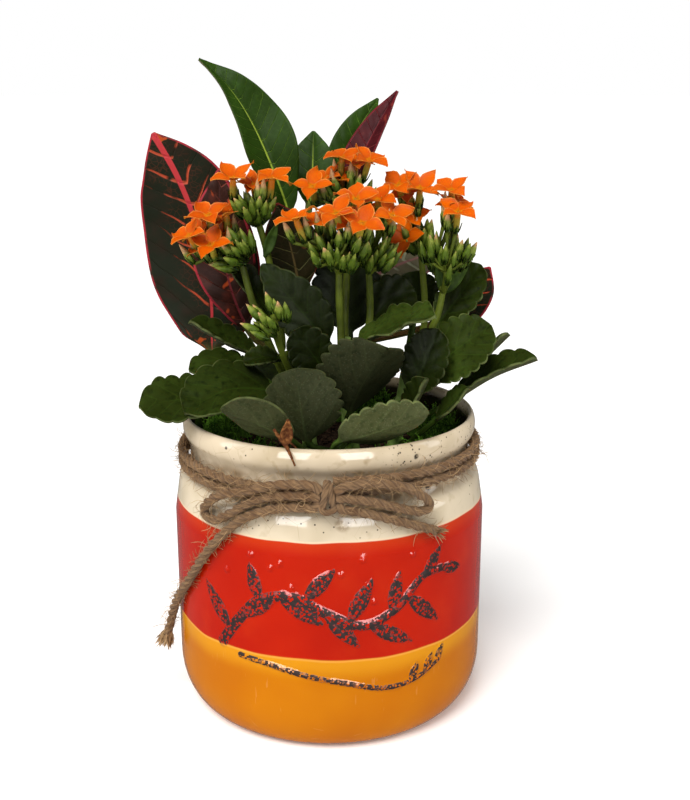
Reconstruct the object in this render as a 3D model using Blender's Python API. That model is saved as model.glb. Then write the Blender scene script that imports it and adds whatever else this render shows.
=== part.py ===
"""A kalanchoe and a croton planted together in a small glazed jar-shaped pot.

The pot stands on the XY plane with its axis on Z. The front of the arrangement
faces -Y. Every length below is in millimetres until a mesh is written in metres.
"""
import math
import random

import bpy
import bmesh
from mathutils import Vector

MM = 0.001
GAP = 0.3  # clearance between pieces that rest against each other

# Pot: a glazed stoneware jar with a rounded foot, a neck groove and a rolled rim
POT_HEIGHT = 116.0
POT_FOOT_RADIUS = 47.9
POT_FOOT_RISE = 20.0
POT_BODY_RADIUS = 59.8
POT_NECK_RADIUS = 53.9
POT_RIM_RADIUS = 56.0
POT_MOUTH_RADIUS = 53.3
POT_WALL = 3.8
POT_FLOOR = 5.0
POT_SEGMENTS = 32
FOOT_STEPS = 4  # rings of the rounded foot

# Fill: potting soil nearly to the rim, with a ring of moss on it along the wall
SOIL_TOP = 99.0
SOIL_RADIUS = 51.2
MOSS_RADIUS = 51.0
MOSS_INNER_RADIUS = 37.0
SOIL_SEGMENTS = 24
MOSS_SEGMENTS = 28
MOSS_CREST = 4.2  # height of the moss above the soil
MOSS_TUFT = 6.0  # how much higher it stands at the back left
MOSS_TUFT_AT = math.radians(150)
MOSS_TUFT_WIDTH = 0.3
MOSS_SWELLS = ((1.4, 7, 0), (0.9, 17, 1))  # height, number round the ring and phase
MOSS_INNER_SWELL = 1.5  # how far the inner edge wanders, in eleven waves
MOSS_WALL_DROP = 1.2  # from the crest down to the wall
MOSS_BEVEL = 2.0  # how far the inner slope runs
MOSS_INNER_EDGE = 1.6  # thickness of the inner edge

# Twine: jute cord wound twice round the neck and tied in a bow at the front
TWINE = 3.6
WRAP_SLACK = 0.95  # from the neck to the flats of the wrapped cord
WRAP_RADIUS = POT_NECK_RADIUS + TWINE / 2 + WRAP_SLACK
WRAP_TOP = 105.2
WRAP_PITCH = 3.95
WRAP_POINTS = 54
WRAP_END = 2.0  # degrees from the front where each end of the wrap stops
BOW_RADIUS = WRAP_RADIUS + TWINE + 0.35

# Routes of the bow: degrees right of the front, height, and lift off the pot
LEFT_LOOP = [(-4.6, 105.2, 0.6), (-12.5, 105.3, 0.8), (-21, 103.4, 1.0), (-28, 100.9, 1.5),
             (-34.6, 99.1, 1.5), (-41, 95.4, 1.2), (-46, 91.0, 0.6), (-46.5, 88.0, 0.2),
             (-42, 86.8, 0), (-35, 90.6, 0), (-28.5, 95.3, 0), (-22, 99.0, 0),
             (-14, 101.0, 0.3), (-4.6, 101.1, 0.6)]
RIGHT_LOOP = [(5.2, 104.8, 0.6), (15, 105.5, 1.0), (26, 102.7, 1.4), (32.5, 98.2, 1.2),
              (36, 94.6, 0.6), (33.5, 92.1, 0), (26, 94.2, 0), (15, 98.4, 0.2), (5.2, 100.6, 0.6)]
LEFT_TAIL = [(-4.6, 97.0, 0.5), (-12.5, 96.6, 0), (-20, 94.8, 0), (-28, 91.0, 0), (-34, 86.2, 0),
             (-41, 78.5, 0), (-47.6, 70.4, 0), (-57.6, 57.9, 0), (-70, 45.1, 0.3),
             (-77, 33.5, 1.8), (-79, 26.0, 3.4)]
RIGHT_TAIL = [(5.2, 96.3, 0.5), (9.5, 95.4, 0), (15, 93.8, 0), (26, 89.4, 0), (33.5, 86.2, 0),
              (39, 83.6, 0)]
KNOT_CENTRE = (0.3, 101.2, 0.65)
KNOT_SIZE = (4.3, 3.1, 6.4)
KNOT_ROWS = 6
KNOT_SIDES = 10
KNOT_SQUARENESS = 0.75  # 1 is an ellipsoid, less is nearer to a block

# Leaves and stalks
SEAT_GAP = 0.5  # from a stem to the end of a leaf stalk or flower stalk on it
SEAT_LENGTH = 2.8  # how far a stalk leaves its stem squarely before it turns
LOBE_NOTCH = 0.86  # how far a scalloped edge reaches in its notches
LOBES_FROM = 0.24  # share of the blade's length where the scallops start
PATH_POINTS = 60  # samples along a leaf's midrib

# Blade outlines: share of the length from the base, share of the half width
ROUND_BLADE = [(0, 0.14), (0.10, 0.42), (0.25, 0.80), (0.45, 1.0), (0.65, 0.98),
               (0.82, 0.80), (0.93, 0.55), (1, 0.22)]
FAN_BLADE = [(0, 0.3), (0.15, 0.72), (0.35, 0.95), (0.6, 1.0), (0.8, 0.86), (0.93, 0.6),
             (1, 0.22)]
TAPER_BLADE = [(0, 0.2), (0.2, 0.78), (0.42, 1.0), (0.62, 0.86), (0.82, 0.52), (1, 0.14)]
LONG_BLADE = [(0, 0.16), (0.2, 0.5), (0.45, 0.85), (0.7, 1.0), (0.88, 0.82), (1, 0.3)]
BROAD_CROTON = [(0, 0.08), (0.05, 0.32), (0.12, 0.6), (0.25, 0.88), (0.4, 1.0),
                (0.6, 0.93), (0.78, 0.74), (0.9, 0.42), (1, 0.03)]
LANCE_CROTON = [(0, 0.10), (0.15, 0.45), (0.35, 0.88), (0.5, 1.0), (0.65, 0.92),
                (0.8, 0.66), (0.92, 0.3), (1, 0.03)]
TALL_CROTON = [(0, 0.10), (0.15, 0.5), (0.35, 0.92), (0.5, 0.98), (0.66, 0.76), (0.8, 0.48),
               (0.92, 0.2), (1, 0.03)]

# Flowers: four petals on a tube, and pointed buds, on forks of a stalk
FLORET_TUBE = 9.0
PETAL_LENGTH = 8.8
PETAL_SKIN = 0.35  # half the thickness of a petal
# Edge of one petal: degrees round the floret, distance from its axis, rise
PETAL_EDGE = ((45, 1.9, 0.1), (56, 5.0, 0.9), (90, PETAL_LENGTH, 0.2), (124, 5.0, 0.9))
CALYX_RADIUS = 1.0  # at the foot of the tube
THROAT_RADIUS = 1.3  # of the tube just below the petals
THROAT_DROP = 0.9
FLORET_STALK = 0.55  # share of the calyx's width that its stalk has
BUD_SIDES = 4
BUD_RADIUS = 1.85
BUD_STALK = (0.55, 0.75)  # radius at the fork and under the bud
BUD_SCATTER = 0.16  # share by which some buds stay lower than others
BUD_UPRIGHT = 0.35  # how much a bud turns back to the head's axis
GOLDEN_TURN = math.radians(137.5)
STALK_SIDES = 6
STALK_TAPER = 0.05  # share of the radius lost at each point of a stalk
FORK_RISE = 0.36  # share of the head's reach that a fork climbs
FORK_REACH = 0.2  # share of it that a fork leans out
FORK_FOOT = 1.2  # how far below the stalk's top the forks part
FORK_RADIUS = 0.95
FORK_SIDES = 5
FORK_HEAD = 1.4  # radius of the swollen head of a fork
FORK_SINK = 1.0  # how deep bud and floret stalks are rooted in it
# Small leaf on a stalk: share of its length, share of its half width
BRACT_BLADE = ((0, 0.35), (0.35, 1.0), (0.7, 0.8), (1, 0.12))
BRACT_CUP = 0.25  # how far its edges rise
BRACT_SKIN = 0.45  # half its thickness

SLIVER = 0.0001  # shorter edges than this are closed up after a union
UNION_SOLVER = "MANIFOLD"


def clear_scene():
    for thing in list(bpy.data.objects):
        bpy.data.objects.remove(thing, do_unlink=True)


def make_material(name, colour, roughness):
    """A Principled material from an sRGB colour given as 0-255 values."""
    material = bpy.data.materials.new(name)
    material.use_nodes = True
    linear = [((c / 255 + 0.055) / 1.055) ** 2.4 if c > 10 else c / 3294.6 for c in colour]
    shader = material.node_tree.nodes["Principled BSDF"]
    shader.inputs["Base Color"].default_value = (*linear, 1.0)
    shader.inputs["Roughness"].default_value = roughness
    shader.inputs["Metallic"].default_value = 0.0
    material.diffuse_color = (*linear, 1.0)
    return material


def add_object(name, points, faces, material):
    """A closed smooth-shaded mesh object from points in millimetres."""
    mesh = bpy.data.meshes.new(name)
    mesh.from_pydata([tuple(MM * c for c in p) for p in points], [], faces)
    shape = bmesh.new()
    shape.from_mesh(mesh)
    bmesh.ops.recalc_face_normals(shape, faces=shape.faces)
    shape.to_mesh(mesh)
    shape.free()
    mesh.shade_smooth()
    mesh.set_sharp_from_angle(angle=math.radians(50))
    mesh.materials.append(material)
    thing = bpy.data.objects.new(name, mesh)
    bpy.context.scene.collection.objects.link(thing)
    return thing


def turned(profile, segments):
    """Points and faces of a closed solid turned from a (radius, height) outline.

    The outline runs from the axis to the axis, and its two ends lie on it.
    """
    points = [(0.0, 0.0, profile[0][1])]
    for radius, height in profile[1:-1]:
        for k in range(segments):
            a = 2 * math.pi * k / segments
            points.append((radius * math.cos(a), radius * math.sin(a), height))
    points.append((0.0, 0.0, profile[-1][1]))
    rings = len(profile) - 2
    last = len(points) - 1
    faces = []
    for k in range(segments):
        n = (k + 1) % segments
        faces.append((0, 1 + n, 1 + k))
        for i in range(rings - 1):
            a, b = 1 + i * segments, 1 + (i + 1) * segments
            faces.append((a + k, a + n, b + n, b + k))
        a = 1 + (rings - 1) * segments
        faces.append((a + k, a + n, last))
    return points, faces


def smooth_path(route, count):
    """Points evenly spaced along a smooth curve through the route's points."""
    route = [Vector(p) for p in route]
    ends = [2 * route[0] - route[1]] + route + [2 * route[-1] - route[-2]]
    dense = []
    for a, b, c, d in zip(ends, ends[1:], ends[2:], ends[3:]):
        for step in range(24):
            t = step / 24
            dense.append(0.5 * (2 * b + (c - a) * t + (2 * a - 5 * b + 4 * c - d) * t * t
                                + (3 * b - a - 3 * c + d) * t ** 3))
    dense.append(route[-1])
    along = [0.0]
    for a, b in zip(dense, dense[1:]):
        along.append(along[-1] + (b - a).length)
    points = []
    j = 0
    for i in range(count):
        target = along[-1] * i / (count - 1)
        while j < len(along) - 2 and along[j + 1] < target:
            j += 1
        span = max(along[j + 1] - along[j], 1e-9)
        points.append(dense[j].lerp(dense[j + 1], (target - along[j]) / span))
    return points


def tangents(path):
    """Unit directions along a path, one for each of its points."""
    result = []
    for i in range(len(path)):
        before, after = path[max(i - 1, 0)], path[min(i + 1, len(path) - 1)]
        result.append((after - before).normalized())
    return result


def tube(path, radii, sides):
    """Points and faces of a closed round stem along a path."""
    heading = tangents(path)
    side = heading[0].orthogonal().normalized()
    points, faces = [], []
    for centre, ahead, radius in zip(path, heading, radii):
        side = (side - side.dot(ahead) * ahead).normalized()
        other = ahead.cross(side)
        for k in range(sides):
            a = 2 * math.pi * k / sides
            points.append(centre + radius * (math.cos(a) * side + math.sin(a) * other))
    for i in range(len(path) - 1):
        for k in range(sides):
            n = (k + 1) % sides
            faces.append((i * sides + k, i * sides + n, (i + 1) * sides + n, (i + 1) * sides + k))
    faces.append(tuple(range(sides)))
    faces.append(tuple(len(points) - sides + k for k in range(sides)))
    return points, faces


def value_at(outline, t):
    """The value at t on straight lines between (t, value) pairs."""
    for (ta, a), (tb, b) in zip(outline, outline[1:]):
        if t <= tb:
            s = (t - ta) / (tb - ta)
            return a + (b - a) * s
    return outline[-1][1]


class Stem:
    """A tapering upright stem that leaves and stalks grow from."""

    def __init__(self, name, route, radius, top_radius, material, sides=7, count=7):
        self.name = name
        self.path = smooth_path(route, count)
        self.radii = [radius + (top_radius - radius) * i / (count - 1) for i in range(count)]
        self.sides = sides
        self.material = material

    def at(self, height):
        """The axis point, the direction and the radius at a height."""
        for i in range(len(self.path) - 1):
            a, b = self.path[i], self.path[i + 1]
            if height <= b.z or i == len(self.path) - 2:
                s = (height - a.z) / (b.z - a.z)
                radius = self.radii[i] + (self.radii[i + 1] - self.radii[i]) * s
                return a.lerp(b, s), (b - a).normalized(), radius

    def seat(self, height, toward):
        """Two route points that leave the stem squarely toward a point."""
        centre, ahead, radius = self.at(height)
        out = Vector(toward) - centre
        out = (out - out.dot(ahead) * ahead).normalized()
        return [centre + out * (radius + SEAT_GAP), centre + out * (radius + SEAT_GAP + SEAT_LENGTH)]

    def build(self):
        points, faces = tube(self.path, self.radii, self.sides)
        return add_object(self.name, points, faces, self.material)


def bent(share, fold, curl):
    """Across and up shares of a half blade that is folded and curled, in degrees."""
    f, c = math.radians(fold), math.radians(curl)
    if abs(c) < 0.01:
        return share * math.cos(f), share * math.sin(f), f
    end = f + c * share
    return (math.sin(end) - math.sin(f)) / c, (math.cos(f) - math.cos(end)) / c, end


class Leaf:
    """A stalked leaf: a blade along a curved midrib, one closed solid.

    route runs from the stem along the stalk and the midrib to the tip, and
    route[stalk] is where the blade starts. face is the direction that the upper
    side looks in, at the base and at the tip. Each fold is how far that half of
    the blade rises from flat, and each curl how much further its edge turns.
    """

    def __init__(self, name, route, stalk, face, half_width, outline, material, lobes=0,
                 fold=(8, 8), curl=(0, 0), wave=0.0, stalk_radius=1.1, thickness=1.5,
                 edge=0.8, columns=3, bands=9):
        self.name = name
        self.route = route
        self.stalk = stalk
        self.face = [Vector(f).normalized() for f in face]
        self.half_width = half_width
        self.outline = outline
        self.material = material
        self.lobes = lobes
        self.fold = fold
        self.curl = curl
        self.wave = wave
        self.stalk_radius = stalk_radius
        self.thickness = thickness
        self.edge = edge
        self.columns = columns
        self.bands = bands

    def stations(self):
        """Places along the blade, from 0 to 1, and how far the edge reaches there."""
        if not self.lobes:
            return [(i / self.bands, 1.0) for i in range(self.bands + 1)]
        first = LOBES_FROM
        result = [(0.0, 1.0), (first / 2, 1.0)]
        for i in range(2 * self.lobes):
            result.append((first + (1 - first) * i / (2 * self.lobes), 1.0 if i % 2 else LOBE_NOTCH))
        result.append((1.0, 1.0))
        return result

    def build(self):
        count = PATH_POINTS
        path = smooth_path(self.route, count)
        heading = tangents(path)
        base = min(range(count), key=lambda i: (path[i] - Vector(self.route[self.stalk])).length)
        columns = self.columns
        half = (columns - 1) // 2
        rows = []
        for share in (0, 0.14, 0.55):
            rows.append((base * share, None, 1.0))
        for t, reach in self.stations():
            rows.append((base + (count - 1 - base) * t, t, reach))
        points = []
        for place, t, reach in rows:
            j = min(int(place), count - 2)
            centre = path[j].lerp(path[j + 1], place - j)
            ahead = heading[j].lerp(heading[j + 1], place - j).normalized()
            share = 0 if t is None else t
            up = self.face[0].lerp(self.face[-1], share)
            up = (up - up.dot(ahead) * ahead).normalized()
            across = ahead.cross(up)
            upper, lower = [], []
            for k in range(columns):
                s = (k - half) / half
                if t is None:
                    rise = self.stalk_radius * (1.0 if k == half else 0.45)
                    place_k = centre + across * s * self.stalk_radius
                    normal = up
                else:
                    width = max(self.half_width * value_at(self.outline, t) * reach, 0.5)
                    side = 1 if s > 0 else 0
                    out, lift, turn = bent(abs(s), self.fold[side], self.curl[side])
                    ripple = self.wave * abs(s) * math.sin(5 * math.pi * t + 2 * side)
                    way = across if s >= 0 else -across
                    place_k = centre + way * out * width + up * (lift * width + ripple)
                    normal = up * math.cos(turn) - way * math.sin(turn) if s else up
                    rise = self.edge / 2 + (self.thickness - self.edge) / 2 * (1 - abs(s))
                    if t == 0:
                        rise = max(rise, self.stalk_radius * 0.7 * (1 if s == 0 else 0.6))
                upper.append(place_k + normal * rise)
                lower.append(place_k - normal * rise)
            points += upper + lower
        faces = self.skin(len(rows))
        return add_object(self.name, points, faces, self.material)

    def skin(self, rows):
        """Triangles split alike on the upper and lower sides."""
        c = self.columns
        loop = 2 * c
        faces = []
        for i in range(rows - 1):
            a, b = i * loop, (i + 1) * loop
            for k in range(c - 1):
                for side in (0, c):
                    faces.append((a + side + k, a + side + k + 1, b + side + k + 1))
                    faces.append((a + side + k, b + side + k + 1, b + side + k))
            for k in (0, c - 1):
                faces.append((a + k, b + k, b + c + k))
                faces.append((a + k, b + c + k, a + c + k))
        for row in (0, rows - 1):
            a = row * loop
            for k in range(c - 1):
                faces.append((a + k, a + k + 1, a + c + k + 1))
                faces.append((a + k, a + c + k + 1, a + c + k))
        return faces


def jar_radius(height):
    """The outer radius of the pot at a height."""
    return value_at([(z, r) for r, z in jar_outline()], height)


def jar_outline():
    """The pot's outer side from the foot to the rim, as (radius, height)."""
    outline = []
    for i in range(FOOT_STEPS + 1):
        a = math.pi / 2 * i / FOOT_STEPS
        outline.append((POT_FOOT_RADIUS + (POT_BODY_RADIUS - POT_FOOT_RADIUS) * math.sin(a),
                        POT_FOOT_RISE * (1 - math.cos(a))))
    outline += [(POT_BODY_RADIUS + 0.2, 78), (59.0, 85), (57.7, 92), (54.9, 95.3),
                (POT_NECK_RADIUS, 98), (POT_NECK_RADIUS, 105), (POT_RIM_RADIUS, 109.5),
                (POT_RIM_RADIUS, 113.5), (54.6, POT_HEIGHT)]
    return outline


def jar_inside():
    """The pot's inner side from the rim down to the floor, as (radius, height)."""
    body = POT_BODY_RADIUS - POT_WALL
    return [(POT_MOUTH_RADIUS, 114.6), (51.6, 104), (51.6, 97), (body, 82), (body, 24),
            (52, 11), (44, POT_FLOOR)]


def build_pot(glaze):
    profile = [(0, 0)] + jar_outline() + jar_inside() + [(0, POT_FLOOR)]
    points, faces = turned(profile, POT_SEGMENTS)
    return add_object("pot", points, faces, glaze)


def build_soil(material, stems):
    body = POT_BODY_RADIUS - POT_WALL - 3 * GAP
    profile = [(0, SOIL_TOP), (SOIL_RADIUS - 0.4, SOIL_TOP), (SOIL_RADIUS - 0.4, 97), (body, 80),
               (body, 24), (43, POT_FLOOR + GAP), (0, POT_FLOOR + GAP)]
    points, faces = turned(profile, SOIL_SEGMENTS)
    soil = add_object("potting_soil", points, faces, material)
    cutters = bpy.data.collections.new("stem_holes")
    for stem in stems:
        radii = [r + GAP + 0.2 for r in stem.radii]
        route = [stem.path[0] - Vector((0, 0, 1.0))] + stem.path[1:]
        points, faces = tube(route, radii, stem.sides)
        hole = add_object("hole_" + stem.name, points, faces, material)
        bpy.context.scene.collection.objects.unlink(hole)
        cutters.objects.link(hole)
    combine(soil, cutters, "DIFFERENCE")
    return soil


def combine(thing, others, operation, solver="EXACT"):
    """Joins or cuts a collection of solids and applies it, and removes them."""
    cut = thing.modifiers.new("combine", "BOOLEAN")
    cut.operation = operation
    cut.operand_type = "COLLECTION"
    cut.collection = others
    cut.solver = solver
    bpy.context.scene.collection.children.link(others)
    graph = bpy.context.evaluated_depsgraph_get()
    mesh = bpy.data.meshes.new_from_object(thing.evaluated_get(graph))
    keep_whole_body(mesh)
    thing.modifiers.clear()
    old = thing.data
    thing.data = mesh
    bpy.data.meshes.remove(old)
    for other in list(others.objects):
        bpy.data.objects.remove(other, do_unlink=True)
    bpy.data.collections.remove(others)


def keep_whole_body(mesh):
    """Drops the slivers and loose scraps that a union leaves beside the one body."""
    shape = bmesh.new()
    shape.from_mesh(mesh)
    bmesh.ops.remove_doubles(shape, verts=shape.verts, dist=SLIVER * MM)
    bmesh.ops.dissolve_degenerate(shape, edges=shape.edges, dist=SLIVER * MM)
    left = set(shape.faces)
    bodies = []
    while left:
        body, edge = set(), [left.pop()]
        while edge:
            face = edge.pop()
            body.add(face)
            for line in face.edges:
                for near in line.link_faces:
                    if near in left:
                        left.discard(near)
                        edge.append(near)
        bodies.append(body)
    bodies.sort(key=len)
    scraps = [face for body in bodies[:-1] for face in body]
    bmesh.ops.delete(shape, geom=scraps, context="FACES")
    shape.to_mesh(mesh)
    shape.free()


def build_moss(material):
    """A low uneven ring of moss along the wall, higher at the back left."""
    segments = MOSS_SEGMENTS
    middle = (MOSS_RADIUS + MOSS_INNER_RADIUS) / 2
    points, faces = [], []
    for k in range(segments):
        a = 2 * math.pi * k / segments
        off = (a - MOSS_TUFT_AT + math.pi) % (2 * math.pi) - math.pi
        tuft = MOSS_TUFT * math.exp(-(off / MOSS_TUFT_WIDTH) ** 2)
        swell = sum(size * math.sin(waves * a + phase) for size, waves, phase in MOSS_SWELLS)
        crest = SOIL_TOP + MOSS_CREST + swell + tuft
        inner = MOSS_INNER_RADIUS + MOSS_INNER_SWELL * math.sin(11 * a)
        low = SOIL_TOP + GAP
        ring = [(inner, low), (MOSS_RADIUS, low), (MOSS_RADIUS, crest - MOSS_WALL_DROP),
                (middle + MOSS_BEVEL, crest), (inner + MOSS_BEVEL, low + MOSS_INNER_EDGE)]
        points += [(r * math.cos(a), r * math.sin(a), z) for r, z in ring]
    size = 5
    for k in range(segments):
        n = (k + 1) % segments
        for i in range(size):
            j = (i + 1) % size
            faces.append((k * size + i, k * size + j, n * size + j, n * size + i))
    return add_object("moss", points, faces, material)


def on_jar(angle, height, lift):
    """A point beside the pot's front wall, at degrees to the right of the front."""
    radius = max(BOW_RADIUS, jar_radius(height) + TWINE / 2 + GAP) + lift
    a = math.radians(angle)
    return Vector((radius * math.sin(a), -radius * math.cos(a), height))


def build_cord(name, path, material):
    """A plain cord as a bevelled curve with filled ends."""
    curve = bpy.data.curves.new(name, "CURVE")
    curve.dimensions = "3D"
    curve.bevel_depth = MM * TWINE / 2
    curve.bevel_resolution = 2
    curve.use_fill_caps = True
    spline = curve.splines.new("POLY")
    spline.points.add(len(path) - 1)
    for knot, place in zip(spline.points, path):
        knot.co = (*(MM * c for c in place), 1.0)
    curve.materials.append(material)
    cord = bpy.data.objects.new(name, curve)
    bpy.context.scene.collection.objects.link(cord)
    return cord


def build_twine(jute):
    turns = 4 * math.pi - 2 * math.radians(WRAP_END)
    path = []
    for i in range(WRAP_POINTS):
        a = math.radians(WRAP_END) + turns * i / (WRAP_POINTS - 1)
        height = WRAP_TOP - WRAP_PITCH * a / (2 * math.pi)
        path.append(Vector((WRAP_RADIUS * math.sin(a), -WRAP_RADIUS * math.cos(a), height)))
    build_cord("twine_wrap", path, jute)
    for name, route, count in (("twine_loop_left", LEFT_LOOP, 15), ("twine_loop_right", RIGHT_LOOP, 12),
                               ("twine_tail_left", LEFT_TAIL, 14), ("twine_tail_right", RIGHT_TAIL, 7)):
        build_cord(name, smooth_path([on_jar(*step) for step in route], count), jute)
    build_knot(jute)


def build_knot(jute):
    """The tied knot as a rounded block in front of the wraps."""
    centre = on_jar(*KNOT_CENTRE)
    rows, sides = KNOT_ROWS, KNOT_SIDES
    points = [centre - Vector((0, 0, KNOT_SIZE[2]))]
    for i in range(1, rows):
        b = math.pi * i / rows - math.pi / 2
        for k in range(sides):
            a = 2 * math.pi * k / sides
            squared = [math.copysign(abs(v) ** KNOT_SQUARENESS, v) for v in
                       (math.cos(b) * math.cos(a), math.cos(b) * math.sin(a), math.sin(b))]
            points.append(centre + Vector([s * v for s, v in zip(KNOT_SIZE, squared)]))
    points.append(centre + Vector((0, 0, KNOT_SIZE[2])))
    faces = []
    last = len(points) - 1
    for k in range(sides):
        n = (k + 1) % sides
        faces.append((0, 1 + n, 1 + k))
        for i in range(rows - 2):
            a, b = 1 + i * sides, 1 + (i + 1) * sides
            faces.append((a + k, a + n, b + n, b + k))
        a = 1 + (rows - 2) * sides
        faces.append((a + k, a + n, last))
    return add_object("twine_knot", points, faces, jute)


def frame_from(direction):
    """Two directions square to a given one."""
    ahead = Vector(direction).normalized()
    side = ahead.orthogonal().normalized()
    return side, ahead.cross(side)


def floret_mesh(throat, axis, spin, fork):
    """A four-petalled floret on its tube and stalk: points and faces of a closed solid."""
    axis = Vector(axis).normalized()
    side, other = frame_from(axis)
    throat = Vector(throat)

    def place(angle, radius, height):
        a = spin + math.radians(angle)
        return throat + axis * height + (side * math.cos(a) + other * math.sin(a)) * radius

    calyx = [place(45 + 90 * i, CALYX_RADIUS, -FLORET_TUBE) for i in range(4)]
    middle = throat - axis * FLORET_TUBE
    foot = [fork + (c - middle) * FLORET_STALK for c in calyx]
    neck = [place(45 + 90 * i, THROAT_RADIUS, -THROAT_DROP) for i in range(4)]
    rim = [(angle + 90 * i, out, rise) for i in range(4) for angle, out, rise in PETAL_EDGE]
    under = [place(a, r, h - PETAL_SKIN) for a, r, h in rim]
    over = [place(a, r, h + PETAL_SKIN) for a, r, h in rim]
    points = foot + calyx + neck + under + over + [place(0, 0, PETAL_EDGE[0][2])]
    neck_at, under_at, over_at, heart = 8, 12, 28, 44
    faces = [(3, 2, 1, 0)]
    for i in range(4):
        n = (i + 1) % 4
        faces.append((i, n, 4 + n, 4 + i))
        faces.append((4 + i, 4 + n, 8 + n, 8 + i))
        notch, left, tip, right, far = (4 * i, 4 * i + 1, 4 * i + 2, 4 * i + 3, (4 * i + 4) % 16)
        for ring, a, c in ((under_at, neck_at + i, neck_at + n), (over_at, heart, heart)):
            faces.append((a, ring + notch, ring + left))
            faces.append((a, ring + left, ring + tip))
            faces.append((c, ring + tip, ring + right))
            faces.append((c, ring + right, ring + far))
        faces.append((neck_at + i, under_at + tip, neck_at + n))
    for j in range(16):
        n = (j + 1) % 16
        faces.append((under_at + j, under_at + n, over_at + n))
        faces.append((under_at + j, over_at + n, over_at + j))
    return points, faces


def bud_mesh(base, tip, stalk_from):
    """A pointed bud on its own short stalk: points and faces of a closed solid."""
    path = [Vector(stalk_from), Vector(base), Vector(base).lerp(Vector(tip), 0.5)]
    points, faces = tube(path, [*BUD_STALK, BUD_RADIUS], BUD_SIDES)
    faces.pop()
    points.append(Vector(tip))
    last = len(points) - 1
    for k in range(BUD_SIDES):
        faces.append((last - BUD_SIDES + k, last - BUD_SIDES + (k + 1) % BUD_SIDES, last))
    return points, faces


def bract_mesh(base, tip, face, half_width):
    """A small plain leaf on a flower stalk: points and faces of a closed solid."""
    base, tip = Vector(base), Vector(tip)
    ahead = (tip - base).normalized()
    up = Vector(face)
    up = (up - up.dot(ahead) * ahead).normalized()
    across = ahead.cross(up)
    points, faces = [], []
    for t, share in BRACT_BLADE:
        centre = base.lerp(tip, t)
        for skin in (BRACT_SKIN, -BRACT_SKIN):
            for s in (-1, 0, 1):
                rise = up * (BRACT_CUP * abs(s) + skin)
                points.append(centre + across * s * share * half_width + rise)
    for i in range(3):
        a, b = 6 * i, 6 * i + 6
        for k in (0, 1, 3, 4):
            faces.append((a + k, a + k + 1, b + k + 1))
            faces.append((a + k, b + k + 1, b + k))
        for k in (0, 2):
            faces.append((a + k, b + k, b + k + 3))
            faces.append((a + k, b + k + 3, a + k + 3))
    for a in (0, 18):
        for k in (0, 1):
            faces.append((a + k, a + k + 1, a + k + 4, a + k + 3))
    return points, faces


class Spray:
    """A stalk with its forks, buds and florets, fused into one solid."""

    def __init__(self, name, stalk, florets, buds, reach, seed, material, aim=None,
                 spread=42, bracts=(), radius=1.5, bud_length=8.0, forks=3):
        self.name = name
        self.stalk = stalk
        self.florets = florets
        self.buds = buds
        self.reach = reach
        self.seed = seed
        self.material = material
        self.aim = aim
        self.spread = spread
        self.bracts = bracts
        self.radius = radius
        self.bud_length = bud_length
        self.forks = forks

    def axis(self, top):
        if self.aim:
            return Vector(self.aim).normalized()
        total = Vector((0, 0, 0))
        for place, _ in self.florets:
            total += Vector(place) - top
        return total.normalized()

    def bud_ends(self, top):
        """Base and tip of each bud, spread over a dome above the stalk's top."""
        draw = random.Random(self.seed)
        axis = self.axis(top)
        side, other = frame_from(axis)
        ends = []
        for i in range(self.buds):
            turn = i * GOLDEN_TURN + self.seed
            lean = math.radians(self.spread) * math.sqrt((i + 0.6) / self.buds)
            out = side * math.cos(turn) + other * math.sin(turn)
            way = axis * math.cos(lean) + out * math.sin(lean)
            reach = self.reach * (1 - BUD_SCATTER * draw.random())
            bud_way = (way + axis * BUD_UPRIGHT).normalized()
            tip = top + way * reach
            ends.append((tip - bud_way * self.bud_length, tip))
        return ends

    def build(self):
        path = [Vector(self.stalk[0])] + smooth_path(self.stalk[1:], 5)
        top = path[-1]
        radii = [self.radius * (1 - STALK_TAPER * i) for i in range(len(path))]
        thing = add_object(self.name, *tube(path, radii, STALK_SIDES), self.material)
        axis = self.axis(top)
        side, other = frame_from(axis)
        forks = []
        for i in range(self.forks):
            a = 2 * math.pi * i / self.forks + self.seed
            out = side * math.cos(a) + other * math.sin(a)
            forks.append(top + axis * self.reach * FORK_RISE + out * self.reach * FORK_REACH)
        pieces = []
        below = top - tangents(path)[-1] * FORK_FOOT
        for fork in forks:
            pieces.append(tube([below, fork], [FORK_RADIUS, FORK_HEAD], FORK_SIDES))
        for base, tip in self.bud_ends(top):
            near = min(forks, key=lambda f: (f - base).length)
            inside = near + (below - near).normalized() * FORK_SINK
            pieces.append(bud_mesh(base, tip, inside))
        for spin, (throat, face) in enumerate(self.florets):
            foot = Vector(throat) - Vector(face).normalized() * FLORET_TUBE
            near = min(forks, key=lambda f: (f - foot).length)
            inside = near + (below - near).normalized() * FORK_SINK
            pieces.append(floret_mesh(throat, face, 0.5 + 0.37 * spin, inside))
        for base, tip, face, half_width in self.bracts:
            pieces.append(bract_mesh(base, tip, face, half_width))
        parts = bpy.data.collections.new(self.name + "_parts")
        for i, (points, faces) in enumerate(pieces):
            piece = add_object(f"{self.name}_{i}", points, faces, self.material)
            bpy.context.scene.collection.objects.unlink(piece)
            parts.objects.link(piece)
        combine(thing, parts, "UNION", UNION_SOLVER)
        return thing


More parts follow.
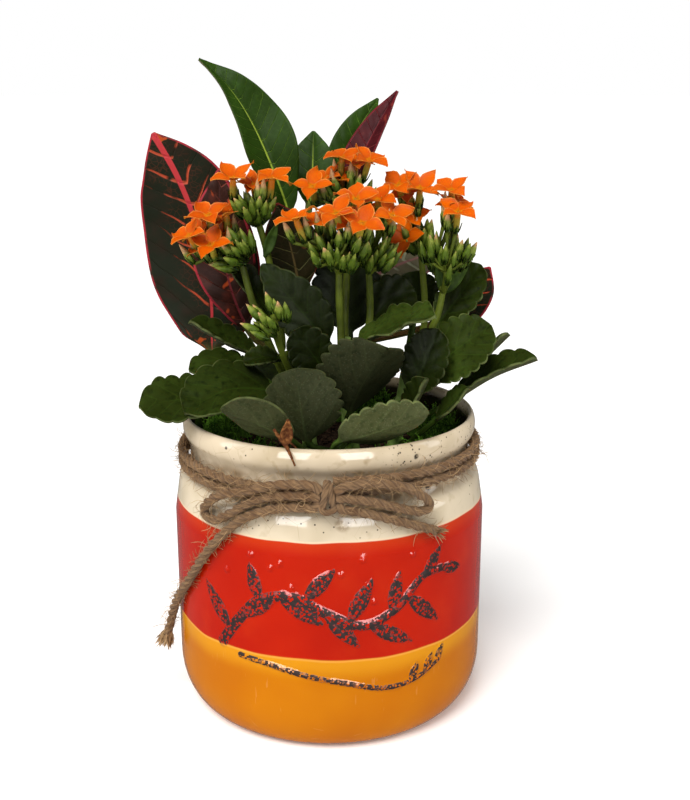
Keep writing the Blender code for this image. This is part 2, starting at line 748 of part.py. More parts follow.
def build_sprig(material):
    """A dried twig that hangs over the front of the rim, with one small dry leaf."""
    main = smooth_path([(-18.2, -54.2, 123.2), (-16.3, -53.6, 120), (-14.1, -53.6, 116.9),
                        (-12.4, -55.9, 114.2), (-11.0, -56.7, 110.8)], 7)
    thing = add_object("dried_twig", *tube(main, [0.5, 0.7, 0.8, 0.8, 0.7, 0.6, 0.4], 5), material)
    parts = bpy.data.collections.new("twig_parts")
    fork = smooth_path([main[2], (-13.4, -52.6, 118.4), (-10.4, -51.0, 115), (-9.4, -50.2, 112)], 4)
    leaflet = (main[2] + Vector((0.5, -0.1, -0.3)), (-13.2, -56.2, 127))
    pieces = [tube(fork, [0.6, 0.6, 0.5, 0.4], 4), bract_mesh(*leaflet, (0.2, -1, 0.2), 1.9)]
    for i, (points, faces) in enumerate(pieces):
        piece = add_object(f"twig_{i}", points, faces, material)
        bpy.context.scene.collection.objects.unlink(piece)
        parts.objects.link(piece)
    combine(thing, parts, "UNION", UNION_SOLVER)
    return thing


def main():
    clear_scene()
    glaze = make_material("glazed_stoneware", (214, 60, 15), 0.12)
    soil_brown = make_material("potting_soil", (52, 38, 30), 0.95)
    moss_green = make_material("moss", (60, 110, 35), 0.95)
    jute = make_material("jute_twine", (160, 125, 95), 0.9)
    stem_green = make_material("kalanchoe_stem", (96, 128, 52), 0.5)
    bark = make_material("croton_stem", (98, 78, 52), 0.7)
    leaf_green = make_material("kalanchoe_leaf", (72, 98, 48), 0.45)
    croton_green = make_material("croton_leaf_green", (50, 96, 34), 0.3)
    croton_dark = make_material("croton_leaf_dark", (58, 34, 30), 0.3)
    orange = make_material("kalanchoe_flowers", (240, 110, 15), 0.5)
    dry = make_material("dried_twig", (140, 78, 50), 0.8)

    left = Stem("kalanchoe_stem_left", [(-6, -6, 88), (-7, -6, 100), (-10, -8, 122), (-13, -8, 141)],
                3.2, 2.2, stem_green)
    centre = Stem("kalanchoe_stem_centre", [(9, -10, 88), (9, -10, 100), (7, -12, 122), (6, -12, 146)],
                  3.4, 2.2, stem_green)
    right = Stem("kalanchoe_stem_right", [(25, -4, 88), (25, -4, 100), (28, -4, 120), (31, -3, 140)],
                 3.2, 2.2, stem_green)
    croton = Stem("croton_stem", [(-13, 22, 86), (-13, 22, 100), (-12, 20, 140), (-10, 18, 180)],
                  3.4, 2.4, bark, count=8)
    stems = [left, centre, right, croton]

    build_pot(glaze)
    build_soil(soil_brown, stems)
    build_moss(moss_green)
    build_twine(jute)
    build_sprig(dry)
    for stem in stems:
        stem.build()
    for leaf in croton_leaves(croton, croton_green, croton_dark):
        leaf.build()
    for leaf in kalanchoe_leaves(left, centre, right, leaf_green):
        leaf.build()
    for spray in flower_sprays(left, centre, right, orange):
        spray.build()


def croton_leaves(stem, green, dark):
    """Each leaf: seat height, stalk and midrib points, face at base and tip, half width."""

    def leaf(name, height, stalk, blade, face, half_width, outline, material, **more):
        route = stem.seat(height, (stalk + blade)[0]) + stalk + blade
        return Leaf(name, route, 2 + len(stalk), face, half_width, outline, material,
                    stalk_radius=1.2, thickness=1.1, edge=0.7, **more)

    return [
        leaf("croton_leaf_left_large", 112, [(-32, 25, 116), (-43, 25, 124)],
             [(-47, 24, 131), (-47, 23, 155), (-51, 19, 182), (-57, 14, 202), (-65, 8, 219)],
             [(0.05, -1, 0.1), (-0.1, -1, 0.25)], 21.5, BROAD_CROTON, dark,
             fold=(5, 5), curl=(8, 8), columns=5, bands=12),
        leaf("croton_leaf_left_inner", 126, [(-22, 18, 133)],
             [(-31, 15, 142), (-38, 13, 160), (-41, 12, 180), (-41, 10, 206)],
             [(0.25, -1, 0), (-0.2, -1, 0.2)], 12, LANCE_CROTON, dark, fold=(10, 10)),
        leaf("croton_leaf_tall", 172, [(-13.5, 15.5, 178)],
             [(-15, 15, 186), (-19, 13, 200), (-27, 10, 220), (-35, 5, 234), (-46, 0, 245.5)],
             [(0.1, -1, 0.2), (0.2, -1, 0.4)], 12.6, TALL_CROTON, green,
             fold=(36, 6), curl=(10, 6), wave=0.8, columns=5, bands=11),
        leaf("croton_leaf_middle", 176, [(-8.5, 22, 184)],
             [(-8, 25, 190), (-6.5, 26, 203), (-6, 27, 219)],
             [(0, -1, 0.2)], 9, LANCE_CROTON, green, fold=(15, 15)),
        leaf("croton_leaf_right_narrow", 168, [(-4, 27, 175)],
             [(-1, 28, 188), (8, 33, 213), (19, 37, 231)],
             [(0.1, -1, 0.3)], 7.5, LANCE_CROTON, green, fold=(20, 20)),
        leaf("croton_leaf_right_red", 158, [(-2.6, 17.5, 167)],
             [(0, 20, 180), (12, 24, 208), (26, 26, 234)],
             [(-0.5, -0.8, 0.2)], 7, LANCE_CROTON, dark, fold=(30, 30)),
        leaf("croton_leaf_front_dark", 148, [(-11, 11, 152)],
             [(-11, 8, 158), (-14, 4, 176), (-19, 1, 194)],
             [(0.2, -1, 0.2)], 11, LANCE_CROTON, dark, fold=(12, 12)),
        leaf("croton_leaf_right_back", 146, [(0, 25, 151)],
             [(10, 28, 158), (27, 31, 166), (46, 33, 172)],
             [(0.3, 0.9, -0.35)], 9, LANCE_CROTON, green, fold=(8, 8)),
        leaf("croton_leaf_far_right", 130, [(6, 27, 134), (28, 27, 139)],
             [(40, 25, 143), (54, 23, 153), (63, 21, 167)],
             [(-0.1, -1, 0.3)], 9, BROAD_CROTON, dark, fold=(12, 12)),
    ]


def kalanchoe_leaves(left, centre, right, green):
    """Each leaf: stem, seat height, stalk, midrib points, face at base and tip, half width."""

    def leaf(name, stem, height, stalk, blade, face, half_width, outline=ROUND_BLADE, **more):
        route = stem.seat(height, (stalk + blade)[0]) + stalk + blade
        return Leaf(name, route, 2 + len(stalk), face, half_width, outline, green, **more)

    return [
        leaf("kalanchoe_leaf_left_tip", left, 110, [(-20, -12, 117)],
             [(-34, -16, 124), (-51, -22, 125), (-69, -26, 123.5)],
             [(0, -0.4, 0.9), (-0.1, -0.6, 0.8)], 12.3, lobes=5, fold=(6, 6), wave=0.8, columns=5),
        leaf("kalanchoe_leaf_left_front", left, 117, [(-15, -14, 121)],
             [(-20, -19, 127), (-36, -28, 130), (-51, -36.5, 124)],
             [(0.1, -0.6, 0.8), (0, -0.5, 0.85)], 12.5, lobes=5, fold=(14, 14), columns=5),
        leaf("kalanchoe_leaf_left_back", left, 119, [(-19, -4, 124)],
             [(-29, -3, 130), (-41, -4, 134), (-53, -6, 132)],
             [(0, -0.35, 0.9)], 8.5, lobes=4),
        leaf("kalanchoe_leaf_left_high", left, 128, [(-19, 1, 133)],
             [(-27, 4, 135), (-41, 8, 140), (-54, 9, 148)],
             [(0.3, -0.2, 0.93)], 8.5, lobes=4, fold=(25, 25)),
        leaf("kalanchoe_leaf_left_upper", left, 134.5, [(-19, -2, 141)],
             [(-22, -2, 150), (-28, -2, 161), (-37, -2, 173)],
             [(0.5, -0.6, 0.6)], 6, LONG_BLADE, lobes=4, fold=(22, 22)),
        leaf("kalanchoe_leaf_left_curl", left, 134.5, [(-15, -14, 138)],
             [(-18, -17, 139), (-24, -19, 139.5), (-31, -19, 138)],
             [(0, -0.5, 0.85)], 5.4, lobes=4, fold=(20, 20)),
        leaf("kalanchoe_leaf_front_left", centre, 107, [(3, -24, 106), (-3, -31, 109)],
             [(-7, -36, 113), (-9, -40, 126), (-11, -39, 141)],
             [(0.1, 1, 0.25), (0.1, 0.9, 0.1)], 14.5, lobes=5, fold=(8, 8), curl=(10, 10), columns=5),
        leaf("kalanchoe_leaf_front_rolled", left, 106, [(-10, -26, 107), (-9, -36, 110)],
             [(-13, -46, 117), (-23, -52, 125), (-36, -54, 131)],
             [(0, 0.85, 0.5), (-0.1, 0.5, 0.85)], 11, LONG_BLADE, lobes=0, fold=(10, 10), columns=5),
        leaf("kalanchoe_leaf_front_middle", centre, 112, [(7, -21, 116)],
             [(8, -26, 121), (13, -33, 134), (21, -38, 148)],
             [(-0.1, 0.95, 0.3), (0, 0.9, 0.35)], 18, FAN_BLADE, lobes=6,
             fold=(38, 4), curl=(8, 8), columns=5),
        leaf("kalanchoe_leaf_front_upper", centre, 130, [(8, -17, 137)],
             [(10, -19, 144), (23, -24, 152), (38, -29, 158)],
             [(0, -0.25, 0.97), (-0.2, -0.2, 0.95)], 12, lobes=5, fold=(14, 14), wave=0.9, columns=5),
        leaf("kalanchoe_leaf_front_right", centre, 105, [(6, -28, 106), (2, -39, 111)],
             [(4, -45, 116), (15, -50, 121), (35, -49, 128)],
             [(0, 0.8, 0.6), (0, 0.75, 0.65)], 11, lobes=6, fold=(8, 8), columns=5),
        leaf("kalanchoe_leaf_front_curl", right, 108, [(25, -16, 113)],
             [(26, -24, 118), (31, -31, 126), (35, -34, 136)],
             [(-0.5, -0.4, 0.7)], 6.5, lobes=4, fold=(30, 30)),
        leaf("kalanchoe_leaf_right_broad", right, 124, [(33, -11, 127)],
             [(36, -14, 131), (47, -16, 142), (60, -14, 151)],
             [(-0.15, -0.75, 0.65)], 12, lobes=6, fold=(6, 6), columns=5),
        leaf("kalanchoe_leaf_right_inner", right, 118, [(30, -15, 121)],
             [(31, -19, 126), (35, -21, 138), (40, -20, 151)],
             [(-0.3, -0.9, 0.3)], 8, lobes=5, fold=(8, 8)),
        leaf("kalanchoe_leaf_right_upper", right, 134, [(36, 0, 141)],
             [(41, 3, 147), (49, 6, 157), (58, 9, 170)],
             [(-0.2, -0.8, 0.55)], 8.5, lobes=5, fold=(8, 8)),
        leaf("kalanchoe_leaf_right_edge", right, 121, [(38, 1, 124)],
             [(47, 2, 128), (58, 3, 134), (69, 5, 144)],
             [(-0.65, 0.2, 0.7)], 7, lobes=4, fold=(12, 12)),
        leaf("kalanchoe_leaf_right_long", right, 110, [(34, -9, 114)],
             [(42, -12, 119), (60, -15, 132), (77, -15, 139)],
             [(-0.3, -0.1, 1)], 9.5, LONG_BLADE, lobes=5, fold=(22, 22), columns=5),
        leaf("kalanchoe_leaf_right_small", right, 104, [(34, -13, 109)],
             [(40, -18, 116), (45, -22, 122), (51, -24, 130)],
             [(-0.5, -0.3, 0.8)], 5.5, lobes=3, fold=(20, 20)),
        leaf("kalanchoe_leaf_centre_high", centre, 138, [(2, -17, 143)],
             [(0, -19, 145), (-10, -19, 158), (-24, -16, 174)],
             [(-0.3, -0.8, 0.5)], 10, TAPER_BLADE, lobes=5, fold=(8, 8), columns=5),
        leaf("kalanchoe_leaf_centre_low", centre, 124, [(1, -20, 130)],
             [(-1, -21, 135), (-7, -22.5, 144), (-13, -24.5, 151)],
             [(-0.2, -0.8, 0.5)], 7.5, lobes=4, fold=(8, 8)),
        leaf("kalanchoe_leaf_back_high", centre, 134, [(12, -6, 142)],
             [(17, 0, 150), (24, 4, 157), (33, 6, 160)],
             [(-0.1, -0.85, 0.5)], 9, lobes=5, fold=(6, 6)),
        leaf("kalanchoe_leaf_centre_back", centre, 127, [(7, -1, 131), (8, 8, 137)],
             [(8, 11, 142), (7, 14, 159), (6, 15, 176)],
             [(0, -0.95, 0.3)], 12.5, lobes=5, fold=(8, 8)),
        leaf("kalanchoe_leaf_back_dark", right, 128, [(31, 8, 138)],
             [(33, 15, 148), (34, 18, 157), (35, 19, 166)],
             [(0.1, -0.95, 0.3)], 8.5, lobes=4, fold=(6, 6)),
        leaf("kalanchoe_leaf_rear_left", left, 112, [(-15, 4, 116)],
             [(-21, 13, 119), (-31, 32, 126), (-35, 50, 123)],
             [(0, 0.3, 0.95)], 11, lobes=5, fold=(10, 10)),
        leaf("kalanchoe_leaf_rear_middle", centre, 116, [(12, 4, 119)],
             [(13, 14, 122), (14, 32, 127), (12, 50, 124)],
             [(0, 0.35, 0.9)], 12, lobes=5, fold=(10, 10)),
        leaf("kalanchoe_leaf_rear_right", right, 114, [(33, 6, 117)],
             [(36, 14, 121), (44, 30, 128), (50, 46, 125)],
             [(0.1, 0.4, 0.9)], 12, lobes=5, fold=(10, 10)),
    ]


def flower_sprays(left, centre, right, orange):
    """Each spray: its stalk, florets as (throat, direction), and buds."""

    def spray(name, stem, height, stalk, florets, buds, reach, seed, **more):
        route = stem.seat(height, stalk[0]) + stalk
        return Spray(name, route, florets, buds, reach, seed, orange, **more)

    return [
        spray("flower_spray_left_low", left, 132, [(-22, -11.5, 143.5), (-28, -12, 160), (-32, -11, 176)],
              [((-43, -13, 191), (-0.4, -0.5, 0.8)), ((-50, -15, 184), (-0.7, -0.6, 0.4)),
               ((-42, -17, 181), (-0.3, -0.8, 0.4)), ((-37, -9, 191), (0.1, -0.6, 0.8))],
              4, 13, 11, spread=60),
        spray("flower_spray_left_high", left, 139, [(-18, -6, 148), (-22, -6, 174), (-26, -8, 190)],
              [((-34, -12, 204), (-0.2, -0.4, 0.9)), ((-20, -12, 204), (0.15, -0.5, 0.85))],
              5, 13, 2, spread=48,
              bracts=[((-23.2, -7.6, 176), (-18.5, -10, 188), (0.2, -1, 0.1), 2.0)]),
        spray("flower_spray_back", centre, 142.5, [(6, -2, 150), (7, 6, 172), (7, 8, 192)],
              [((5, 8, 210), (-0.1, -0.5, 0.85)), ((15, 6, 209), (0.2, -0.5, 0.85)),
               ((-6, 1, 200), (-0.4, -0.6, 0.7))], 6, 15, 3, spread=58),
        spray("flower_spray_front", centre, 144, [(4.5, -17.3, 152), (4, -18.3, 162), (4, -18, 172)],
              [((-11, -25, 191), (-0.45, -0.4, 0.8)), ((3, -24, 193), (-0.1, -0.6, 0.8)),
               ((12, -28, 190), (0.1, -0.75, 0.65)), ((10, -14, 197), (0, -0.5, 0.9))],
              7, 18, 4, spread=46),
        spray("flower_spray_middle", centre, 138, [(14, -10, 145), (15.5, -5, 154), (15, -6, 170)],
              [((23, -13, 191), (0.3, -0.6, 0.75)), ((18, -8, 196), (0.1, -0.6, 0.8))],
              5, 18, 5, spread=44),
        spray("flower_spray_right", right, 137, [(38, -5, 146), (41, -3, 153), (43, -1, 162)],
              [((45, -3, 199), (-0.1, -0.5, 0.85)), ((47, -10, 192), (0.35, -0.5, 0.8))],
              6, 25, 6, spread=28, bud_length=9,
              bracts=[((43, -1.3, 161), (40.5, -4, 179), (-0.3, -1, 0), 2.2),
                      ((43.5, -1, 161), (53, -3, 175), (0.5, -0.9, 0.1), 2.8)]),
        spray("flower_spray_right_back", right, 131, [(34, 4, 138), (37, 9, 150), (35, 8, 175)],
              [((26, 6, 200), (-0.3, -0.5, 0.8)), ((34, 4, 199), (0, -0.6, 0.8)),
               ((29, 3, 181), (-0.5, -0.8, 0.2))], 4, 15, 7, spread=40),
        spray("flower_spray_closed", left, 126, [(-13, -20, 133), (-16, -26, 142), (-18.5, -30, 152)],
              [], 6, 15, 8, aim=(-0.55, -0.2, 0.8), spread=48, bud_length=8.5),
    ]


main()
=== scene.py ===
"""Finishes the potted kalanchoe and croton: glaze, jute twine, leaves, flowers and moss.

The pot stands on the XY plane with its axis on Z and its front facing -Y. The tables
are in millimetres, and meshes are written in metres.
"""
import math
import random

import bpy
import numpy as np
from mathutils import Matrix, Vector, noise


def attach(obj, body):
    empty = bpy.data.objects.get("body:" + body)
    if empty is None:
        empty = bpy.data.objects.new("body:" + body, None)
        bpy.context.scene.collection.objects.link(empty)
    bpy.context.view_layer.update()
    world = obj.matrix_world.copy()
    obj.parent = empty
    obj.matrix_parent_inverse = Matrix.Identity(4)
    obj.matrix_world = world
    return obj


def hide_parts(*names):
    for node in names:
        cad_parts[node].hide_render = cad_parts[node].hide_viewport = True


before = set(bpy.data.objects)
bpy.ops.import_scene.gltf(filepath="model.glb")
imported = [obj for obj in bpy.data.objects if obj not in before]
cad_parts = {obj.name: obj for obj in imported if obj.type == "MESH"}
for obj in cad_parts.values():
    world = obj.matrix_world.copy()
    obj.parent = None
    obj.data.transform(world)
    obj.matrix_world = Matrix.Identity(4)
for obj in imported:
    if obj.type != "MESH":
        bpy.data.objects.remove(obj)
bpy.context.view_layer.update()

bl_info = {
    "name": "Potted Kalanchoe and Croton",
    "version": (1, 0, 0),
    "blender": (4, 5, 0),
    "location": "3D View > Sidebar > Planter",
    "description": "Builds the glazed pot, jute bow, leaves, flower heads, soil and moss",
    "category": "Object",
}

MM = 0.001

# Pot, as (radius, height): the outer wall from the foot to the rim, then the inner wall
FOOT_RADIUS = 47.9
FOOT_RISE = 20.0
BODY_RADIUS = 59.8
OUTER_WALL = [(60.0, 78), (59.0, 85), (57.7, 92), (54.9, 95.3), (53.9, 98), (53.9, 105),
              (56.0, 109.5), (56.0, 113.5), (54.6, 116)]
INNER_WALL = [(53.3, 114.6), (51.6, 104), (51.6, 97), (56.0, 82), (56.0, 24), (52, 11), (44, 5)]
SOIL_TOP = 99.0
SOIL_RADIUS = 50.8
WALL_INSIDE = 51.5  # radius that the moss shoots keep within

# Twine: the wrap round the neck, and the bow as degrees right of the front, height and lift
TWINE = 3.6
WRAP_RADIUS = 56.65
WRAP_TOP = 105.2
WRAP_PITCH = 3.95
WRAP_END = 2.0
BOW_RADIUS = 60.6
TWINE_CLEAR = 2.1
FILLED = 0.4  # how far loose fibres fill the creases between the plies
FIBRE = 0.017  # radius of a loose fibre as a share of its length
BOW = {
    "twine_loop_left": [
        (-4.6, 105.2, 0.6), (-12.5, 105.3, 0.8), (-21, 103.4, 1.0), (-28, 100.9, 1.5),
        (-34.6, 99.1, 1.5), (-41, 95.4, 1.2), (-46, 91.0, 0.6), (-46.5, 88.0, 0.2), (-42, 86.8, 0),
        (-35, 90.6, 0), (-28.5, 95.3, 0), (-22, 99.0, 0), (-14, 101.0, 0.3), (-4.6, 101.1, 0.6)],
    "twine_loop_right": [
        (5.2, 104.8, 0.6), (15, 105.5, 1.0), (26, 102.7, 1.4), (32.5, 98.2, 1.2), (36, 94.6, 0.6),
        (33.5, 92.1, 0), (26, 94.2, 0), (15, 98.4, 0.2), (5.2, 100.6, 0.6)],
    "twine_tail_left": [
        (-4.6, 97.0, 0.5), (-12.5, 96.6, 0), (-20, 94.8, 0), (-28, 91.0, 0), (-34, 86.2, 0),
        (-41, 78.5, 0), (-47.6, 70.4, 0), (-57.6, 57.9, 0), (-70, 45.1, 0.3), (-77, 33.5, 1.8),
        (-79, 26.0, 3.4)],
    "twine_tail_right": [
        (5.2, 96.3, 0.5), (9.5, 95.4, 0), (15, 93.8, 0), (26, 89.4, 0), (33.5, 86.2, 0),
        (39, 83.6, 0)],
}

# Stems: route, radius at the foot and at the top, points along the route
STEMS = {
    "left": ([(-6, -6, 88), (-7, -6, 100), (-10, -8, 122), (-13, -8, 141)], 3.2, 2.2, 7),
    "centre": ([(9, -10, 88), (9, -10, 100), (7, -12, 122), (6, -12, 146)], 3.4, 2.2, 7),
    "right": ([(25, -4, 88), (25, -4, 100), (28, -4, 120), (31, -3, 140)], 3.2, 2.2, 7),
    "croton": ([(-13, 22, 86), (-13, 22, 100), (-12, 20, 140), (-10, 18, 180)], 3.4, 2.4, 8),
}
SEAT_GAP = 0.5
SEAT_LENGTH = 2.8
PATH_POINTS = 60
LOBE_NOTCH = 0.86  # a kalanchoe leaf's width between its lobes, as a share of its full width
LOBES_FROM = 0.24
ARC = math.pi * BODY_RADIUS / 180  # length of one degree round the pot

# Blade outlines: share of the length from the base, share of the half width
ROUND = [(0, 0.14), (0.10, 0.42), (0.25, 0.80), (0.45, 1.0), (0.65, 0.98), (0.82, 0.80),
         (0.93, 0.55), (1, 0.22)]
FAN = [(0, 0.3), (0.15, 0.72), (0.35, 0.95), (0.6, 1.0), (0.8, 0.86), (0.93, 0.6), (1, 0.22)]
TAPER = [(0, 0.2), (0.2, 0.78), (0.42, 1.0), (0.62, 0.86), (0.82, 0.52), (1, 0.14)]
LONG = [(0, 0.16), (0.2, 0.5), (0.45, 0.85), (0.7, 1.0), (0.88, 0.82), (1, 0.3)]
BROAD_CROTON = [(0, 0.08), (0.05, 0.32), (0.12, 0.6), (0.25, 0.88), (0.4, 1.0), (0.6, 0.93),
                (0.78, 0.74), (0.9, 0.42), (1, 0.03)]
LANCE_CROTON = [(0, 0.10), (0.15, 0.45), (0.35, 0.88), (0.5, 1.0), (0.65, 0.92), (0.8, 0.66),
                (0.92, 0.3), (1, 0.03)]
TALL_CROTON = [(0, 0.10), (0.15, 0.5), (0.35, 0.92), (0.5, 0.98), (0.66, 0.76), (0.8, 0.48),
               (0.92, 0.2), (1, 0.03)]

# Croton leaves: seat height, stalk, midrib, face at base and tip, half width, outline, kind of
# colouring, more
CROTON_LEAVES = {
    "left_large": (
        112, [(-32, 25, 116), (-43, 25, 124)],
        [(-47, 24, 131), (-47, 23, 155), (-51, 19, 182), (-57, 14, 202), (-65, 8, 219)],
        [(0.05, -1, 0.1), (-0.1, -1, 0.25)], 21.5, BROAD_CROTON, "dark",
        {"fold": (5, 5), "curl": (8, 8), "vein_gap": 10.5, "vein_slope": 0.95, "rib_taper": -0.85}),
    "left_inner": (
        126, [(-22, 18, 133)], [(-31, 15, 142), (-38, 13, 160), (-41, 12, 180), (-41, 10, 206)],
        [(0.25, -1, 0), (-0.2, -1, 0.2)], 12, LANCE_CROTON, "maroon", {"fold": (10, 10)}),
    "tall": (
        172, [(-13.5, 15.5, 178)],
        [(-15, 15, 186), (-19, 13, 200), (-27, 10, 220), (-35, 5, 234), (-46, 0, 245.5)],
        [(0.1, -1, 0.2), (0.2, -1, 0.4)], 12.6, TALL_CROTON, "green",
        {"fold": (43, 6), "curl": (10, 6), "wave": 0.8, "vein_gap": 4.5}),
    "middle": (
        176, [(-8.5, 22, 184)], [(-8, 25, 190), (-6.5, 26, 203), (-6, 27, 219)], [(0, -1, 0.2)], 9,
        LANCE_CROTON, "green", {"fold": (15, 15)}),
    "right_narrow": (
        168, [(-4, 27, 175)], [(-1, 28, 188), (8, 33, 213), (19, 37, 231)], [(0.1, -1, 0.3)], 7.5,
        LANCE_CROTON, "green", {"fold": (20, 20)}),
    "right_red": (
        158, [(-2.6, 17.5, 167)], [(0, 20, 180), (12, 24, 208), (26, 26, 234)], [(-0.5, -0.8, 0.2)],
        7, LANCE_CROTON, "wine", {"fold": (30, 30)}),
    "front_dark": (
        148, [(-11, 11, 152)], [(-11, 8, 158), (-14, 4, 176), (-19, 1, 194)], [(0.2, -1, 0.2)], 11,
        LANCE_CROTON, "ember", {"fold": (12, 12)}),
    "right_back": (
        146, [(0, 25, 151)], [(10, 28, 158), (27, 31, 166), (46, 33, 172)], [(0.3, 0.9, -0.35)], 9,
        LANCE_CROTON, "pale", {}),
    "far_right": (
        130, [(6, 27, 134), (28, 27, 139)], [(40, 25, 143), (54, 23, 153), (63, 21, 167)],
        [(-0.1, -1, 0.3)], 9, BROAD_CROTON, "dark", {"fold": (12, 12)}),
}

# Croton colours: ground, then blotch, spots, veins, midrib and margin as croton_leaf() takes them
CROTON_COLOURS = {
    "green": ("263E0C", ("304E12", (0.5, 0.8)), ("3A5E1A", (0.7, 0.9)),
              ("688A30", 0.022, (0.36, 0.6), 40), ("9DB43E", 0.9), ("2E4A12", 0.4, (0.5, 0.8))),
    "dark": ("22261A", ("2C241A", (0.45, 0.7)), ("B24A1E", (0.72, 0.75)),
             ("C05034", 0.07, (0.45, 0.52), 14), ("C43C40", 0.5), ("A02A36", 0.7, (0.36, 0.5))),
    "maroon": ("30170F", ("54241A", (0.5, 0.66)), ("B8481C", (0.66, 0.71)),
               ("7A4034", 0.05, (0.45, 0.55), 14), ("7A2C30", 0.85), ("9A2A34", 0.8, (0.36, 0.5))),
    "ember": ("26240F", ("322A16", (0.45, 0.7)), ("5A3A1C", (0.72, 0.78)),
              ("6C6A40", 0.04, (0.36, 0.56), 30), ("6C5A34", 0.9), ("7E2A24", 0.6, (0.4, 0.55))),
    "wine": ("3E1216", ("50181C", (0.45, 0.7)), ("6E2A22", (0.66, 0.75)),
             ("7E3434", 0.05, (0.4, 0.6), 20), ("8E2E34", 0.9), ("6E1A24", 0.6, (0.3, 0.6))),
    # pale: partly the leaf's own grey-green, partly painted sheen lightening the whole leaf
    "pale": ("465038", ("525C46", (0.4, 0.7)), ("66725A", (0.7, 0.8)),
             ("8E9A7C", 0.10, (0.35, 0.5), 20), ("8A585C", 1.2), ("9A4458", 0.6, (0.3, 0.5))),
}
